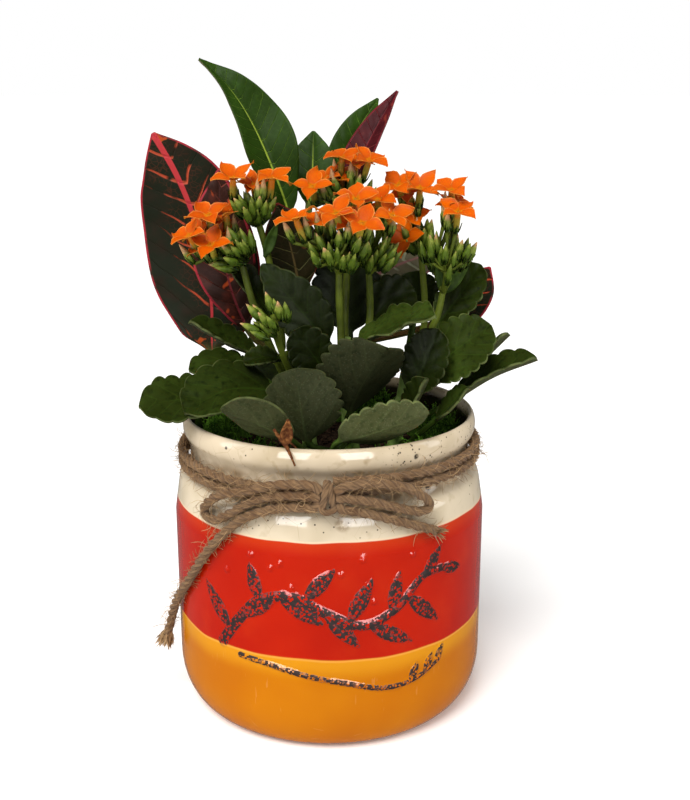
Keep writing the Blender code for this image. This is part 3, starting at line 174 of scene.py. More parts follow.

# Kalanchoe leaves: stem, seat height, stalk, midrib, face at base and tip, half width, how light
# the leaf is painted for the light and shade it stands in, more
KALANCHOE_LEAVES = {
    "left_tip": (
        "left", 110, [(-20, -12, 117)], [(-34, -16, 124), (-51, -22, 125), (-69, -26, 123.5)],
        [(0, -0.4, 0.9), (-0.1, -0.6, 0.8)], 12.3, 0.95, {"lobes": 5, "fold": (6, 6), "wave": 0.8}),
    "left_front": (
        "left", 117, [(-15, -14, 121)], [(-20, -19, 127), (-36, -28, 130), (-51, -36.5, 124)],
        [(0.1, -0.6, 0.8), (0, -0.5, 0.85)], 12.5, 0.75, {"lobes": 5, "fold": (14, 14)}),
    "left_back": (
        "left", 119, [(-19, -4, 124)], [(-29, -3, 130), (-41, -4, 134), (-53, -6, 132)],
        [(0, -0.35, 0.9)], 8.5, 0.75, {"lobes": 4}),
    "left_high": (
        "left", 128, [(-19, 1, 133)], [(-27, 4, 135), (-41, 8, 140), (-54, 9, 148)],
        [(0.3, -0.2, 0.93)], 8.5, 0.9, {"lobes": 4, "fold": (25, 25)}),
    "left_upper": (
        "left", 134.5, [(-19, -2, 141)], [(-22, -2, 150), (-28, -2, 161), (-37, -2, 173)],
        [(0.5, -0.6, 0.6)], 6, 0.6, {"outline": LONG, "lobes": 4, "fold": (22, 22)}),
    "left_curl": (
        "left", 134.5, [(-15, -14, 138)], [(-18, -17, 139), (-24, -19, 139.5), (-31, -19, 138)],
        [(0, -0.5, 0.85)], 5.4, 0.6, {"lobes": 4, "fold": (20, 20)}),
    "front_left": (
        "centre", 107, [(3, -24, 106), (-3, -31, 109)],
        [(-7, -36, 113), (-9, -40, 126), (-11, -39, 141)], [(0.1, 1, 0.25), (0.1, 0.9, 0.1)], 14.5,
        0.55, {"lobes": 5, "curl": (10, 10)}),
    "front_rolled": (
        "left", 106, [(-10, -26, 107), (-9, -36, 110)],
        [(-13, -46, 117), (-23, -52, 125), (-36, -54, 131)], [(0, 0.85, 0.5), (-0.1, 0.5, 0.85)],
        11, 0.85, {"outline": LONG, "lobes": 0, "fold": (10, 10)}),
    "front_middle": (
        "centre", 112, [(7, -21, 116)], [(8, -26, 121), (13, -33, 134), (21, -38, 148)],
        [(-0.1, 0.95, 0.3), (0, 0.9, 0.35)], 18, 0.46,
        {"outline": FAN, "lobes": 6, "fold": (38, 4), "curl": (8, 8)}),
    "front_upper": (
        "centre", 130, [(8, -17, 137)], [(10, -19, 144), (23, -24, 152), (38, -29, 158)],
        [(0, -0.25, 0.97), (-0.2, -0.2, 0.95)], 12, 1.15,
        {"lobes": 5, "fold": (14, 14), "wave": 0.9}),
    "front_right": (
        "centre", 105, [(6, -28, 106), (2, -39, 111)],
        [(4, -45, 116), (15, -50, 121), (35, -49, 128)], [(0, 0.8, 0.6), (0, 0.75, 0.65)], 11, 1.3,
        {"lobes": 6}),
    "front_curl": (
        "right", 108, [(25, -16, 113)], [(26, -24, 118), (31, -31, 126), (35, -34, 136)],
        [(-0.5, -0.4, 0.7)], 6.5, 0.7, {"lobes": 4, "fold": (30, 30)}),
    "right_broad": (
        "right", 124, [(33, -11, 127)], [(36, -14, 131), (47, -16, 142), (60, -14, 151)],
        [(-0.15, -0.75, 0.65)], 12, 1.1, {"lobes": 6, "fold": (6, 6)}),
    "right_inner": (
        "right", 118, [(30, -15, 121)], [(31, -19, 126), (35, -21, 138), (40, -20, 151)],
        [(-0.3, -0.9, 0.3)], 8.8, 0.5, {"lobes": 5}),
    "right_upper": (
        "right", 134, [(36, 0, 141)], [(41, 3, 147), (49, 6, 157), (58, 9, 170)],
        [(-0.2, -0.8, 0.55)], 8.5, 1.0, {"lobes": 5}),
    "right_edge": (
        "right", 121, [(38, 1, 124)], [(47, 2, 128), (58, 3, 134), (69, 5, 144)],
        [(-0.65, 0.2, 0.7)], 7, 1.0, {"lobes": 4, "fold": (12, 12)}),
    "right_long": (
        "right", 110, [(34, -9, 114)], [(42, -12, 119), (60, -15, 132), (77, -15, 139)],
        [(-0.3, -0.1, 1)], 9.5, 1.05, {"outline": LONG, "lobes": 5, "fold": (22, 22)}),
    "right_small": (
        "right", 104, [(34, -13, 109)], [(40, -18, 116), (45, -22, 122), (51, -24, 130)],
        [(-0.5, -0.3, 0.8)], 5.5, 0.9, {"lobes": 3, "fold": (20, 20)}),
    "centre_high": (
        "centre", 138, [(2, -17, 143)], [(0, -19, 145), (-10, -19, 158), (-24, -16, 174)],
        [(-0.3, -0.8, 0.5)], 10, 0.42, {"outline": TAPER, "lobes": 5}),
    "centre_low": (
        "centre", 124, [(1, -20, 130)], [(-1, -21, 135), (-7, -22.5, 144), (-13, -24.5, 151)],
        [(-0.2, -0.8, 0.5)], 8.2, 0.42, {"lobes": 4}),
    "back_high": (
        "centre", 134, [(12, -6, 142)], [(17, 0, 150), (24, 4, 157), (33, 6, 160)],
        [(-0.1, -0.85, 0.5)], 9.8, 0.5, {"lobes": 5, "fold": (6, 6)}),
    "centre_back": (
        "centre", 127, [(7, -1, 131), (8, 8, 137)], [(8, 11, 142), (7, 14, 159), (6, 15, 176)],
        [(0, -0.95, 0.3)], 13.5, 0.3, {"lobes": 5}),
    "back_dark": (
        "right", 128, [(31, 8, 138)], [(33, 15, 148), (34, 18, 157), (35, 19, 166)],
        [(0.1, -0.95, 0.3)], 9.3, 0.55, {"lobes": 4, "fold": (6, 6)}),
    "rear_left": (
        "left", 112, [(-15, 4, 116)], [(-21, 13, 119), (-31, 32, 126), (-35, 50, 123)],
        [(0, 0.3, 0.95)], 11, 0.8, {"lobes": 5, "fold": (10, 10)}),
    "rear_middle": (
        "centre", 116, [(12, 4, 119)], [(13, 14, 122), (14, 32, 127), (12, 50, 124)],
        [(0, 0.35, 0.9)], 12, 0.8, {"lobes": 5, "fold": (10, 10)}),
    "rear_right": (
        "right", 114, [(33, 6, 117)], [(36, 14, 121), (44, 30, 128), (50, 46, 125)],
        [(0.1, 0.4, 0.9)], 12, 0.8, {"lobes": 5, "fold": (10, 10)}),
}

# Flower sprays: stem, seat height, stalk, florets (throat, direction), buds, reach, seed, more
SPRAYS = {
    "left_low": (
        "left", 132, [(-22, -11.5, 143.5), (-28, -12, 160), (-32, -11, 176)],
        [((-43, -13, 191), (-0.4, -0.5, 0.8)), ((-50, -15, 184), (-0.7, -0.6, 0.4)),
         ((-42, -17, 181), (-0.3, -0.8, 0.4)), ((-37, -9, 191), (0.1, -0.6, 0.8))], 4, 13, 11,
        {"spread": 60}),
    "left_high": (
        "left", 139, [(-18, -6, 148), (-22, -6, 174), (-26, -8, 190)],
        [((-34, -12, 204), (-0.2, -0.4, 0.9)), ((-20, -12, 204), (0.15, -0.5, 0.85))], 5, 13, 2,
        {"spread": 48, "bracts": [((-23.2, -7.6, 176), (-18.5, -10, 188), (0.2, -1, 0.1), 2.0)]}),
    "back": (
        "centre", 142.5, [(6, -2, 150), (7, 6, 172), (7, 8, 192)],
        [((5, 8, 210), (-0.1, -0.5, 0.85)), ((15, 6, 209), (0.2, -0.5, 0.85)),
         ((-6, 1, 200), (-0.4, -0.6, 0.7))], 6, 15, 3, {"spread": 58}),
    "front": (
        "centre", 144, [(4.5, -17.3, 152), (4, -18.3, 162), (4, -18, 172)],
        [((-11, -25, 191), (-0.45, -0.4, 0.8)), ((3, -24, 193), (-0.1, -0.6, 0.8)),
         ((12, -28, 190), (0.1, -0.75, 0.65)), ((10, -14, 197), (0, -0.5, 0.9))], 7, 18, 4,
        {"spread": 46}),
    "middle": (
        "centre", 138, [(14, -10, 145), (15.5, -5, 154), (15, -6, 170)],
        [((23, -13, 191), (0.3, -0.6, 0.75)), ((18, -8, 196), (0.1, -0.6, 0.8))], 5, 18, 5,
        {"spread": 44}),
    "right": (
        "right", 137, [(38, -5, 146), (41, -3, 153), (43, -1, 162)],
        [((45, -3, 199), (-0.1, -0.5, 0.85)), ((47, -10, 192), (0.35, -0.5, 0.8))], 6, 25, 6,
        {"spread": 28, "bud_length": 9,
         "bracts": [((43, -1.3, 161), (40.5, -4, 179), (-0.3, -1, 0), 2.2),
                    ((43.5, -1, 161), (53, -3, 175), (0.5, -0.9, 0.1), 2.8)]}),
    "right_back": (
        "right", 131, [(34, 4, 138), (37, 9, 150), (35, 8, 175)],
        [((26, 6, 200), (-0.3, -0.5, 0.8)), ((34, 4, 199), (0, -0.6, 0.8)),
         ((29, 3, 181), (-0.5, -0.8, 0.2))], 4, 15, 7, {"spread": 40}),
    "closed": (
        "left", 126, [(-13, -20, 133), (-16, -26, 142), (-18.5, -30, 152)], [], 6, 15, 8,
        {"aim": (-0.55, -0.2, 0.8), "spread": 48, "bud_length": 8.5, "fillers": 8}),
}
BUD_TURN = math.radians(137.5)  # from one bud of a head to the next
BUD_LENGTH = 8.0
FLORET_TUBE = 9.0
PETAL_LENGTH = 8.8
THROAT = 0.5  # radius of the tube's mouth

# Dried twig over the rim: main stem and the side shoot
TWIG = [(-18.2, -54.2, 123.2), (-16.3, -53.6, 120), (-14.1, -53.6, 116.9), (-12.4, -55.9, 114.2),
        (-11.0, -56.7, 110.8)]
TWIG_SHOOT = [(-14.6, -53.5, 117.7), (-13.4, -52.6, 118.4), (-10.4, -51.0, 115), (-9.4, -50.2, 112)]
TWIG_LEAF = [(-14.4, -53.6, 117.4), (-13.2, -56.2, 127)]

# Moss shoots: how many of each bend, from and to which degree and radius, how far up the wall
# they climb, and how far they lean
MOSS_SHOOTS = [(620, 0, 360, 40.5, 50.0, 0, 1.1), (330, 180, 360, 24, 41, 0, 2.2),
               (150, -60, 95, 46, 50.0, 5.0, 0.6)]

# Raised sprig on the pot's front: degrees right of the front, height, and half width in mm
SPRIG_STEM = [(-40, 40), (-33, 50), (-24, 60), (-12, 63), (0, 57), (12, 52), (24, 57), (34, 67),
              (43, 68)]
SPRIG_TRAIL = [(-32, 37), (-22, 36), (-8, 33), (6, 30), (20, 26.5), (32, 27.5), (43, 32)]
# Its leaves and the trail's: base angle, base height, heading in degrees, length and width in mm
SPRIG_LEAVES = [(-36, 46, 128, 21, 6.4), (-31, 52.5, 35, 19, 6.0), (-24, 60, 105, 15, 5.6),
                (-17, 63, -32, 20, 6.4), (-8, 62, 48, 17, 6.0), (-1, 57.5, -48, 19, 6.2),
                (7, 53.5, 62, 19, 6.4), (14, 52, -28, 20, 6.0), (22, 56, 78, 16, 5.6),
                (28, 61, -42, 20, 6.2), (35, 67, 52, 13, 5.2), (43, 68, -14, 12, 4.8),
                (30, 27, 68, 8, 3.6), (36, 29, 62, 8, 3.6), (41, 31, 60, 8, 3.6)]
BEADS = [(-16.4, 75.1), (-19.7, 73.1), (-12.4, 66.5), (4.5, 71.9), (15.8, 60.8), (-27, 77),
         (30, 76.5), (12, 77), (-37, 69), (40, 79)]

# Marks on the cream glaze: place, radius in mm, colour, strength
MARKS = [((35.9, -40.3, 97.5), 1.8, "1E1612", 0.95), ((5.4, -57.9, 90.2), 3.6, "7E6444", 0.6),
         ((-35.8, -43.1, 113.0), 0.8, "2A2018", 0.9), ((31.0, -46.7, 111.0), 1.3, "1E1612", 0.9)]

# Camera at the photograph's angle: place in metres, tilt below the level in radians, and lens
CAMERA_PLACE = (0.00612, -0.450, 0.2415)
CAMERA_TILT = 0.2662
CAMERA_LENS = 54.405
FLOOR_RADIUS = 12000
AIM_HEIGHT = 0.11  # where the lamps point, in metres up the pot's axis

# Lamps: name, kind, place in metres, size (degrees of the sky, or width and height), power,
# and whether it lights matt surfaces and shows in gloss
LAMPS = [("daylight", "SUN", (-0.5, -1.3, 1.9), (32,), 3.3, True, False),
         ("window_left", "AREA", (-0.45, -0.93, 0.44), (0.44, 0.85), 15.0, False, True),
         ("window_right", "AREA", (0.37, -0.965, 0.44), (0.44, 0.85), 15.0, False, True),
         ("softbox_left", "AREA", (-1.2, -0.2, 0.5), (0.3, 0.9), 4.2, True, True),
         ("softbox_right", "AREA", (1.2, -0.1, 0.5), (0.3, 0.9), 4.2, True, True)]


def linear(code):
    """Linear red, green, blue and alpha from an sRGB hex colour."""
    values = [int(code[i:i + 2], 16) / 255 for i in (0, 2, 4)]
    return (*[v / 12.92 if v <= 0.04045 else ((v + 0.055) / 1.055) ** 2.4 for v in values], 1.0)


def colour_setting(name, description, code):
    return bpy.props.FloatVectorProperty(name=name, description=description, subtype="COLOR",
                                         size=3, min=0, max=1, default=linear(code)[:3])


def length_setting(name, description, millimetres):
    return bpy.props.FloatProperty(name=name, description=description, subtype="DISTANCE",
                                   unit="LENGTH", min=0, default=millimetres * MM)


def share_setting(name, description, default, **limits):
    return bpy.props.FloatProperty(name=name, description=description, subtype="FACTOR", min=0,
                                   default=default, **limits)


def settings(group):
    return getattr(bpy.context.scene, "planter_" + group)


def coloured(colour):
    """What a colour input takes, from a hex code, a setting or another node's output."""
    if isinstance(colour, str):
        return linear(colour)
    return colour if isinstance(colour, bpy.types.NodeSocket) else (*colour, 1.0)


def add(tree, kind, inputs=None, **fields):
    """Adds one node, sets its fields, and fills or links its inputs.

    An input given as a node takes that node's first output.
    """
    node = tree.nodes.new(kind)
    for field, value in fields.items():
        setattr(node, field, value)
    for key, value in (inputs or {}).items():
        if isinstance(value, bpy.types.Node):
            value = value.outputs[0]
        if isinstance(value, bpy.types.NodeSocket):
            tree.links.new(value, node.inputs[key])
        else:
            node.inputs[key].default_value = value
    return node


# Shapes

def smooth_path(route, count):
    """Points evenly spaced along a smooth curve through the route's points."""
    route = [Vector(p) for p in route]
    ends = [2 * route[0] - route[1]] + route + [2 * route[-1] - route[-2]]
    dense = []
    for a, b, c, d in zip(ends, ends[1:], ends[2:], ends[3:]):
        for step in range(24):
            t = step / 24
            dense.append(0.5 * (2 * b + (c - a) * t + (2 * a - 5 * b + 4 * c - d) * t * t
                                + (3 * b - a - 3 * c + d) * t ** 3))
    dense.append(route[-1])
    along = [0.0]
    for a, b in zip(dense, dense[1:]):
        along.append(along[-1] + (b - a).length)
    points = []
    j = 0
    for i in range(count):
        target = along[-1] * i / (count - 1)
        while j < len(along) - 2 and along[j + 1] < target:
            j += 1
        span = max(along[j + 1] - along[j], 1e-9)
        points.append(dense[j].lerp(dense[j + 1], (target - along[j]) / span))
    return points


def tangents(path):
    return [(path[min(i + 1, len(path) - 1)] - path[max(i - 1, 0)]).normalized()
            for i in range(len(path))]


def path_length(path):
    return sum((b - a).length for a, b in zip(path, path[1:]))


def smooth_value(outline, t):
    """The value at t on a smooth curve through (t, value) pairs."""
    for i in range(len(outline) - 1):
        (ta, a), (tb, b) = outline[i], outline[i + 1]
        if t <= tb or i == len(outline) - 2:
            before, after = outline[max(i - 1, 0)], outline[min(i + 2, len(outline) - 1)]
            slope_a = (b - before[1]) / (tb - before[0])
            slope_b = (after[1] - a) / (after[0] - ta)
            s, span = (t - ta) / (tb - ta), tb - ta
            return ((1 + 2 * s) * (1 - s) ** 2 * a + s * (1 - s) ** 2 * span * slope_a
                    + s * s * (3 - 2 * s) * b + s * s * (s - 1) * span * slope_b)


def make_mesh(name, points, faces, values=None):
    """A smooth-shaded mesh from points in millimetres, with named values on its points."""
    mesh = bpy.data.meshes.new(name)
    mesh.from_pydata((np.asarray(points, dtype=float) * MM).tolist(), [], faces)
    for key, numbers in (values or {}).items():
        numbers = np.asarray(numbers, dtype=np.float32)
        kind, field = ("FLOAT", "value") if numbers.ndim == 1 else ("FLOAT_VECTOR", "vector")
        mesh.attributes.new(key, kind, "POINT").data.foreach_set(field, numbers.ravel())
    if faces:
        mesh.shade_smooth()
    return mesh


def make_object(name, data):
    thing = bpy.data.objects.new(name, data)
    bpy.context.scene.collection.objects.link(thing)
    return thing


def finish_piece(name, mesh, slot, *nodes):
    """A finished piece on the planter's one body, standing for CAD nodes."""
    thing = make_object(name, mesh)
    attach(thing, "root")
    if nodes:
        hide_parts(*nodes)
    return thing


def fused(name, meshes):
    """One mesh holding several, with their finishes and point values."""
    things = [make_object(f"{name}_{i}", mesh) for i, mesh in enumerate(meshes)]
    with bpy.context.temp_override(active_object=things[0], object=things[0],
                                   selected_editable_objects=things):
        bpy.ops.object.join()
    mesh = things[0].data
    bpy.data.objects.remove(things[0], do_unlink=True)
    mesh.name = name
    return mesh


def grid_faces(rows, columns, closed):
    """Quads of a grid of points, its columns running round to the start if closed."""
    faces = []
    for i in range(rows - 1):
        a, b = i * columns, (i + 1) * columns
        for k in range(columns if closed else columns - 1):
            n = (k + 1) % columns
            faces.append((a + k, a + n, b + n, b + k))
    return faces


def round_faces(rings, sides):
    """Faces of a form made of rings of points, with its two ends filled."""
    last = (rings - 1) * sides
    return grid_faces(rings, sides, True) + [tuple(reversed(range(sides))),
                                             tuple(last + k for k in range(sides))]


def joined(parts):
    """The points and faces of several forms as one."""
    points, faces = [], []
    for more_points, more_faces in parts:
        faces += [tuple(len(points) + k for k in face) for face in more_faces]
        points += more_points
    return points, faces


def swung(one, other, angle):
    """The direction at an angle from one direction toward another square to it."""
    return one * math.cos(angle) + other * math.sin(angle)


def spun(x, y, height, angle):
    """A point turned about Z."""
    c, s = math.cos(angle), math.sin(angle)
    return x * c - y * s, x * s + y * c, height


def tube(path, radii, sides):
    """Points and faces of a closed round stem along a path."""
    side = tangents(path)[0].orthogonal().normalized()
    points = []
    for centre, ahead, radius in zip(path, tangents(path), radii):
        side = (side - side.dot(ahead) * ahead).normalized()
        other = ahead.cross(side)
        points += [centre + radius * swung(side, other, 2 * math.pi * k / sides)
                   for k in range(sides)]
    return points, round_faces(len(path), sides)


class Stem:
    """A tapering upright stem that leaves and stalks grow from."""

    def __init__(self, route, radius, top_radius, count):
        self.path = smooth_path(route, count)
        self.radii = [radius + (top_radius - radius) * i / (count - 1) for i in range(count)]

    def at(self, height):
        for i in range(len(self.path) - 1):
            a, b = self.path[i], self.path[i + 1]
            if height <= b.z or i == len(self.path) - 2:
                s = (height - a.z) / (b.z - a.z)
                radius = self.radii[i] + (self.radii[i + 1] - self.radii[i]) * s
                return a.lerp(b, s), (b - a).normalized(), radius

    def seat(self, height, toward):
        """Route points that leave the stem squarely toward a point."""
        centre, ahead, radius = self.at(height)
        out = Vector(toward) - centre
        out = (out - out.dot(ahead) * ahead).normalized()
        return [centre + out * (radius + SEAT_GAP),
                centre + out * (radius + SEAT_GAP + SEAT_LENGTH)]


# Node trees that repeat a shape or follow a path

def new_tree(name, sockets):
    """A geometry tree with a mesh or curve going in and out, and named inputs."""
    tree = bpy.data.node_groups.new(name, "GeometryNodeTree")
    tree.is_modifier = True
    tree.interface.new_socket("Geometry", in_out="INPUT", socket_type="NodeSocketGeometry")
    tree.interface.new_socket("Geometry", in_out="OUTPUT", socket_type="NodeSocketGeometry")
    for label, kind in sockets:
        tree.interface.new_socket(label, in_out="INPUT", socket_type="NodeSocket" + kind)
    return tree, add(tree, "NodeGroupInput").outputs


def grown(host, tree, inputs):
    """The plain mesh that a tree makes of an object, which is then removed."""
    modifier = host.modifiers.new("grow", "NODES")
    modifier.node_group = tree
    for item in tree.interface.items_tree:
        if item.in_out == "INPUT" and item.name in inputs:
            modifier[item.identifier] = inputs[item.name]
    graph = bpy.context.evaluated_depsgraph_get()
    mesh = bpy.data.meshes.new_from_object(host.evaluated_get(graph),
                                           preserve_all_data_layers=True, depsgraph=graph)
    host.modifiers.clear()
    bpy.data.objects.remove(host, do_unlink=True)
    return mesh


def scatter_tree():
    """Sets a template on every point of a mesh by the point's aim, spin and size."""
    tree, given = new_tree("scatter", [("Template", "Object"), ("Finish", "Material")])
    aim, spin, size = [
        add(tree, "GeometryNodeInputNamedAttribute", {"Name": name}, data_type=kind).outputs[
            "Attribute"]
        for name, kind in (("aim", "FLOAT_VECTOR"), ("spin", "FLOAT"), ("size", "FLOAT_VECTOR"))]
    turn = add(tree, "FunctionNodeAxisAngleToRotation", {"Axis": (0, 0, 1), "Angle": spin})
    point = add(tree, "FunctionNodeAlignRotationToVector", {"Rotation": turn, "Vector": aim},
                axis="Z")
    template = add(tree, "GeometryNodeObjectInfo",
                   {"Object": given["Template"], "As Instance": True})
    copies = add(tree, "GeometryNodeInstanceOnPoints", {
        "Points": given["Geometry"], "Instance": template.outputs["Geometry"],
        "Rotation": point, "Scale": size})
    real = add(tree, "GeometryNodeRealizeInstances", {"Geometry": copies})
    coated = add(tree, "GeometryNodeSetMaterial", {"Geometry": real, "Material": given["Finish"]})
    add(tree, "NodeGroupOutput", {0: coated})
    return tree


def scattered(tree, template, finish, spots):
    """A mesh of copies of a template at (point, aim, spin, size, tint) spots."""
    points, aims, spins, sizes, tints = zip(*spots)
    host = make_object("spots", make_mesh("spots", points, [], {
        "aim": aims, "spin": spins, "size": sizes, "tint": tints}))
    pattern = make_object("template", template)
    mesh = grown(host, tree, {"Template": pattern, "Finish": finish})
    bpy.data.objects.remove(pattern, do_unlink=True)
    mesh.shade_smooth()
    return mesh


def twine_tree():
    """Twists a profile along a curve, with the plies' fibres roughened a little."""
    tree, given = new_tree("twisted_cord", [
        ("Profile", "Object"), ("Lay Length", "Float"), ("Spacing", "Float"), ("Rough", "Float"),
        ("Finish", "Material")])
    rings = add(tree, "GeometryNodeResampleCurve",
                {"Curve": given["Geometry"], "Length": given["Spacing"]}, mode="LENGTH")
    place = add(tree, "GeometryNodeSplineParameter")
    along = add(tree, "GeometryNodeCaptureAttribute", {"Geometry": rings}, domain="POINT")
    along.capture_items.new("FLOAT", "along")
    tree.links.new(place.outputs["Length"], along.inputs[1])
    turns = add(tree, "ShaderNodeMath", {0: along.outputs[1], 1: given["Lay Length"]},
                operation="DIVIDE")
    angle = add(tree, "ShaderNodeMath", {0: turns, 1: 2 * math.pi}, operation="MULTIPLY")
    tilted = add(tree, "GeometryNodeSetCurveTilt", {"Curve": along, "Tilt": angle})
    profile = add(tree, "GeometryNodeObjectInfo", {"Object": given["Profile"]})
    around = add(tree, "GeometryNodeCaptureAttribute", {"Geometry": profile.outputs["Geometry"]},
                 domain="POINT")
    around.capture_items.new("FLOAT", "around")
    tree.links.new(place.outputs["Factor"], around.inputs[1])
    skin = add(tree, "GeometryNodeCurveToMesh", {
        "Curve": tilted, "Profile Curve": around, "Fill Caps": True})
    for name, captured in (("along", along), ("around", around)):
        skin = add(tree, "GeometryNodeStoreNamedAttribute", {
            "Geometry": skin, "Name": name, "Value": captured.outputs[1]},
            data_type="FLOAT", domain="POINT")
    cloud = add(tree, "ShaderNodeTexNoise", {"Scale": 900.0, "Detail": 1.0})
    level = add(tree, "ShaderNodeMath", {0: cloud, 1: 0.5}, operation="SUBTRACT")
    depth = add(tree, "ShaderNodeMath", {0: level, 1: given["Rough"]}, operation="MULTIPLY")
    normal = add(tree, "GeometryNodeInputNormal")
    shift = add(tree, "ShaderNodeVectorMath", {0: normal, "Scale": depth}, operation="SCALE")
    rough = add(tree, "GeometryNodeSetPosition", {"Geometry": skin, "Offset": shift})
    real = add(tree, "GeometryNodeRealizeInstances", {"Geometry": rough})
    smooth = add(tree, "GeometryNodeSetShadeSmooth", {"Geometry": real})
    coated = add(tree, "GeometryNodeSetMaterial", {"Geometry": smooth, "Material": given["Finish"]})
    add(tree, "NodeGroupOutput", {0: coated})
    return tree


# Finishes

def new_finish(name):
    material = bpy.data.materials.new(name)
    material.use_nodes = True
    material.node_tree.nodes.clear()
    return material, material.node_tree


def surface(tree, *names):
    """Where each point of a piece lies, and the named values that its mesh carries there."""
    found = [add(tree, "ShaderNodeAttribute", attribute_name=name, attribute_type="GEOMETRY")
             for name in names]
    return (add(tree, "ShaderNodeTexCoord").outputs["Object"],
            *[node.outputs["Fac"] for node in found])


def layered(tree, base, layers):
    """A colour with others laid over it, each as (share, colour)."""
    below = coloured(base)
    for factor, colour in layers:
        below = add(tree, "ShaderNodeMix", {0: factor, 6: below, 7: coloured(colour)},
                    data_type="RGBA").outputs[2]
    return below


def mottle(tree, where, size_mm, low, high, detail=2.0):
    """Soft patches of a real size, from 0 to 1 between two noise levels."""
    cloud = add(tree, "ShaderNodeTexNoise",
                {"Vector": where, "Scale": 1 / (size_mm * MM), "Detail": detail})
    return add(tree, "ShaderNodeMapRange", {0: cloud, 1: low, 2: high})


def share(tree, value, start, end, strength=1.0, masks=()):
    """How far a layer shows: not at all at start, fully at end, and less where it is masked."""
    result = add(tree, "ShaderNodeMapRange", {0: value, 1: start, 2: end, 4: strength},
                 interpolation_type="SMOOTHSTEP")
    for mask in masks:
        result = add(tree, "ShaderNodeMath", {0: result, 1: mask}, operation="MULTIPLY")
    return result


def close_finish(tree, height=None, height_mm=0.1, **inputs):
    """Ends a finish in its shader, with a bump of a real height where there is one."""
    shader = add(tree, "ShaderNodeBsdfPrincipled", {
        key.replace("_", " "): value for key, value in inputs.items()})
    if height is not None:
        bump = add(tree, "ShaderNodeBump", {"Height": height, "Distance": height_mm * MM,
                                            "Strength": 1.0})
        tree.links.new(bump.outputs[0], shader.inputs["Normal"])
    add(tree, "ShaderNodeOutputMaterial", {"Surface": shader})


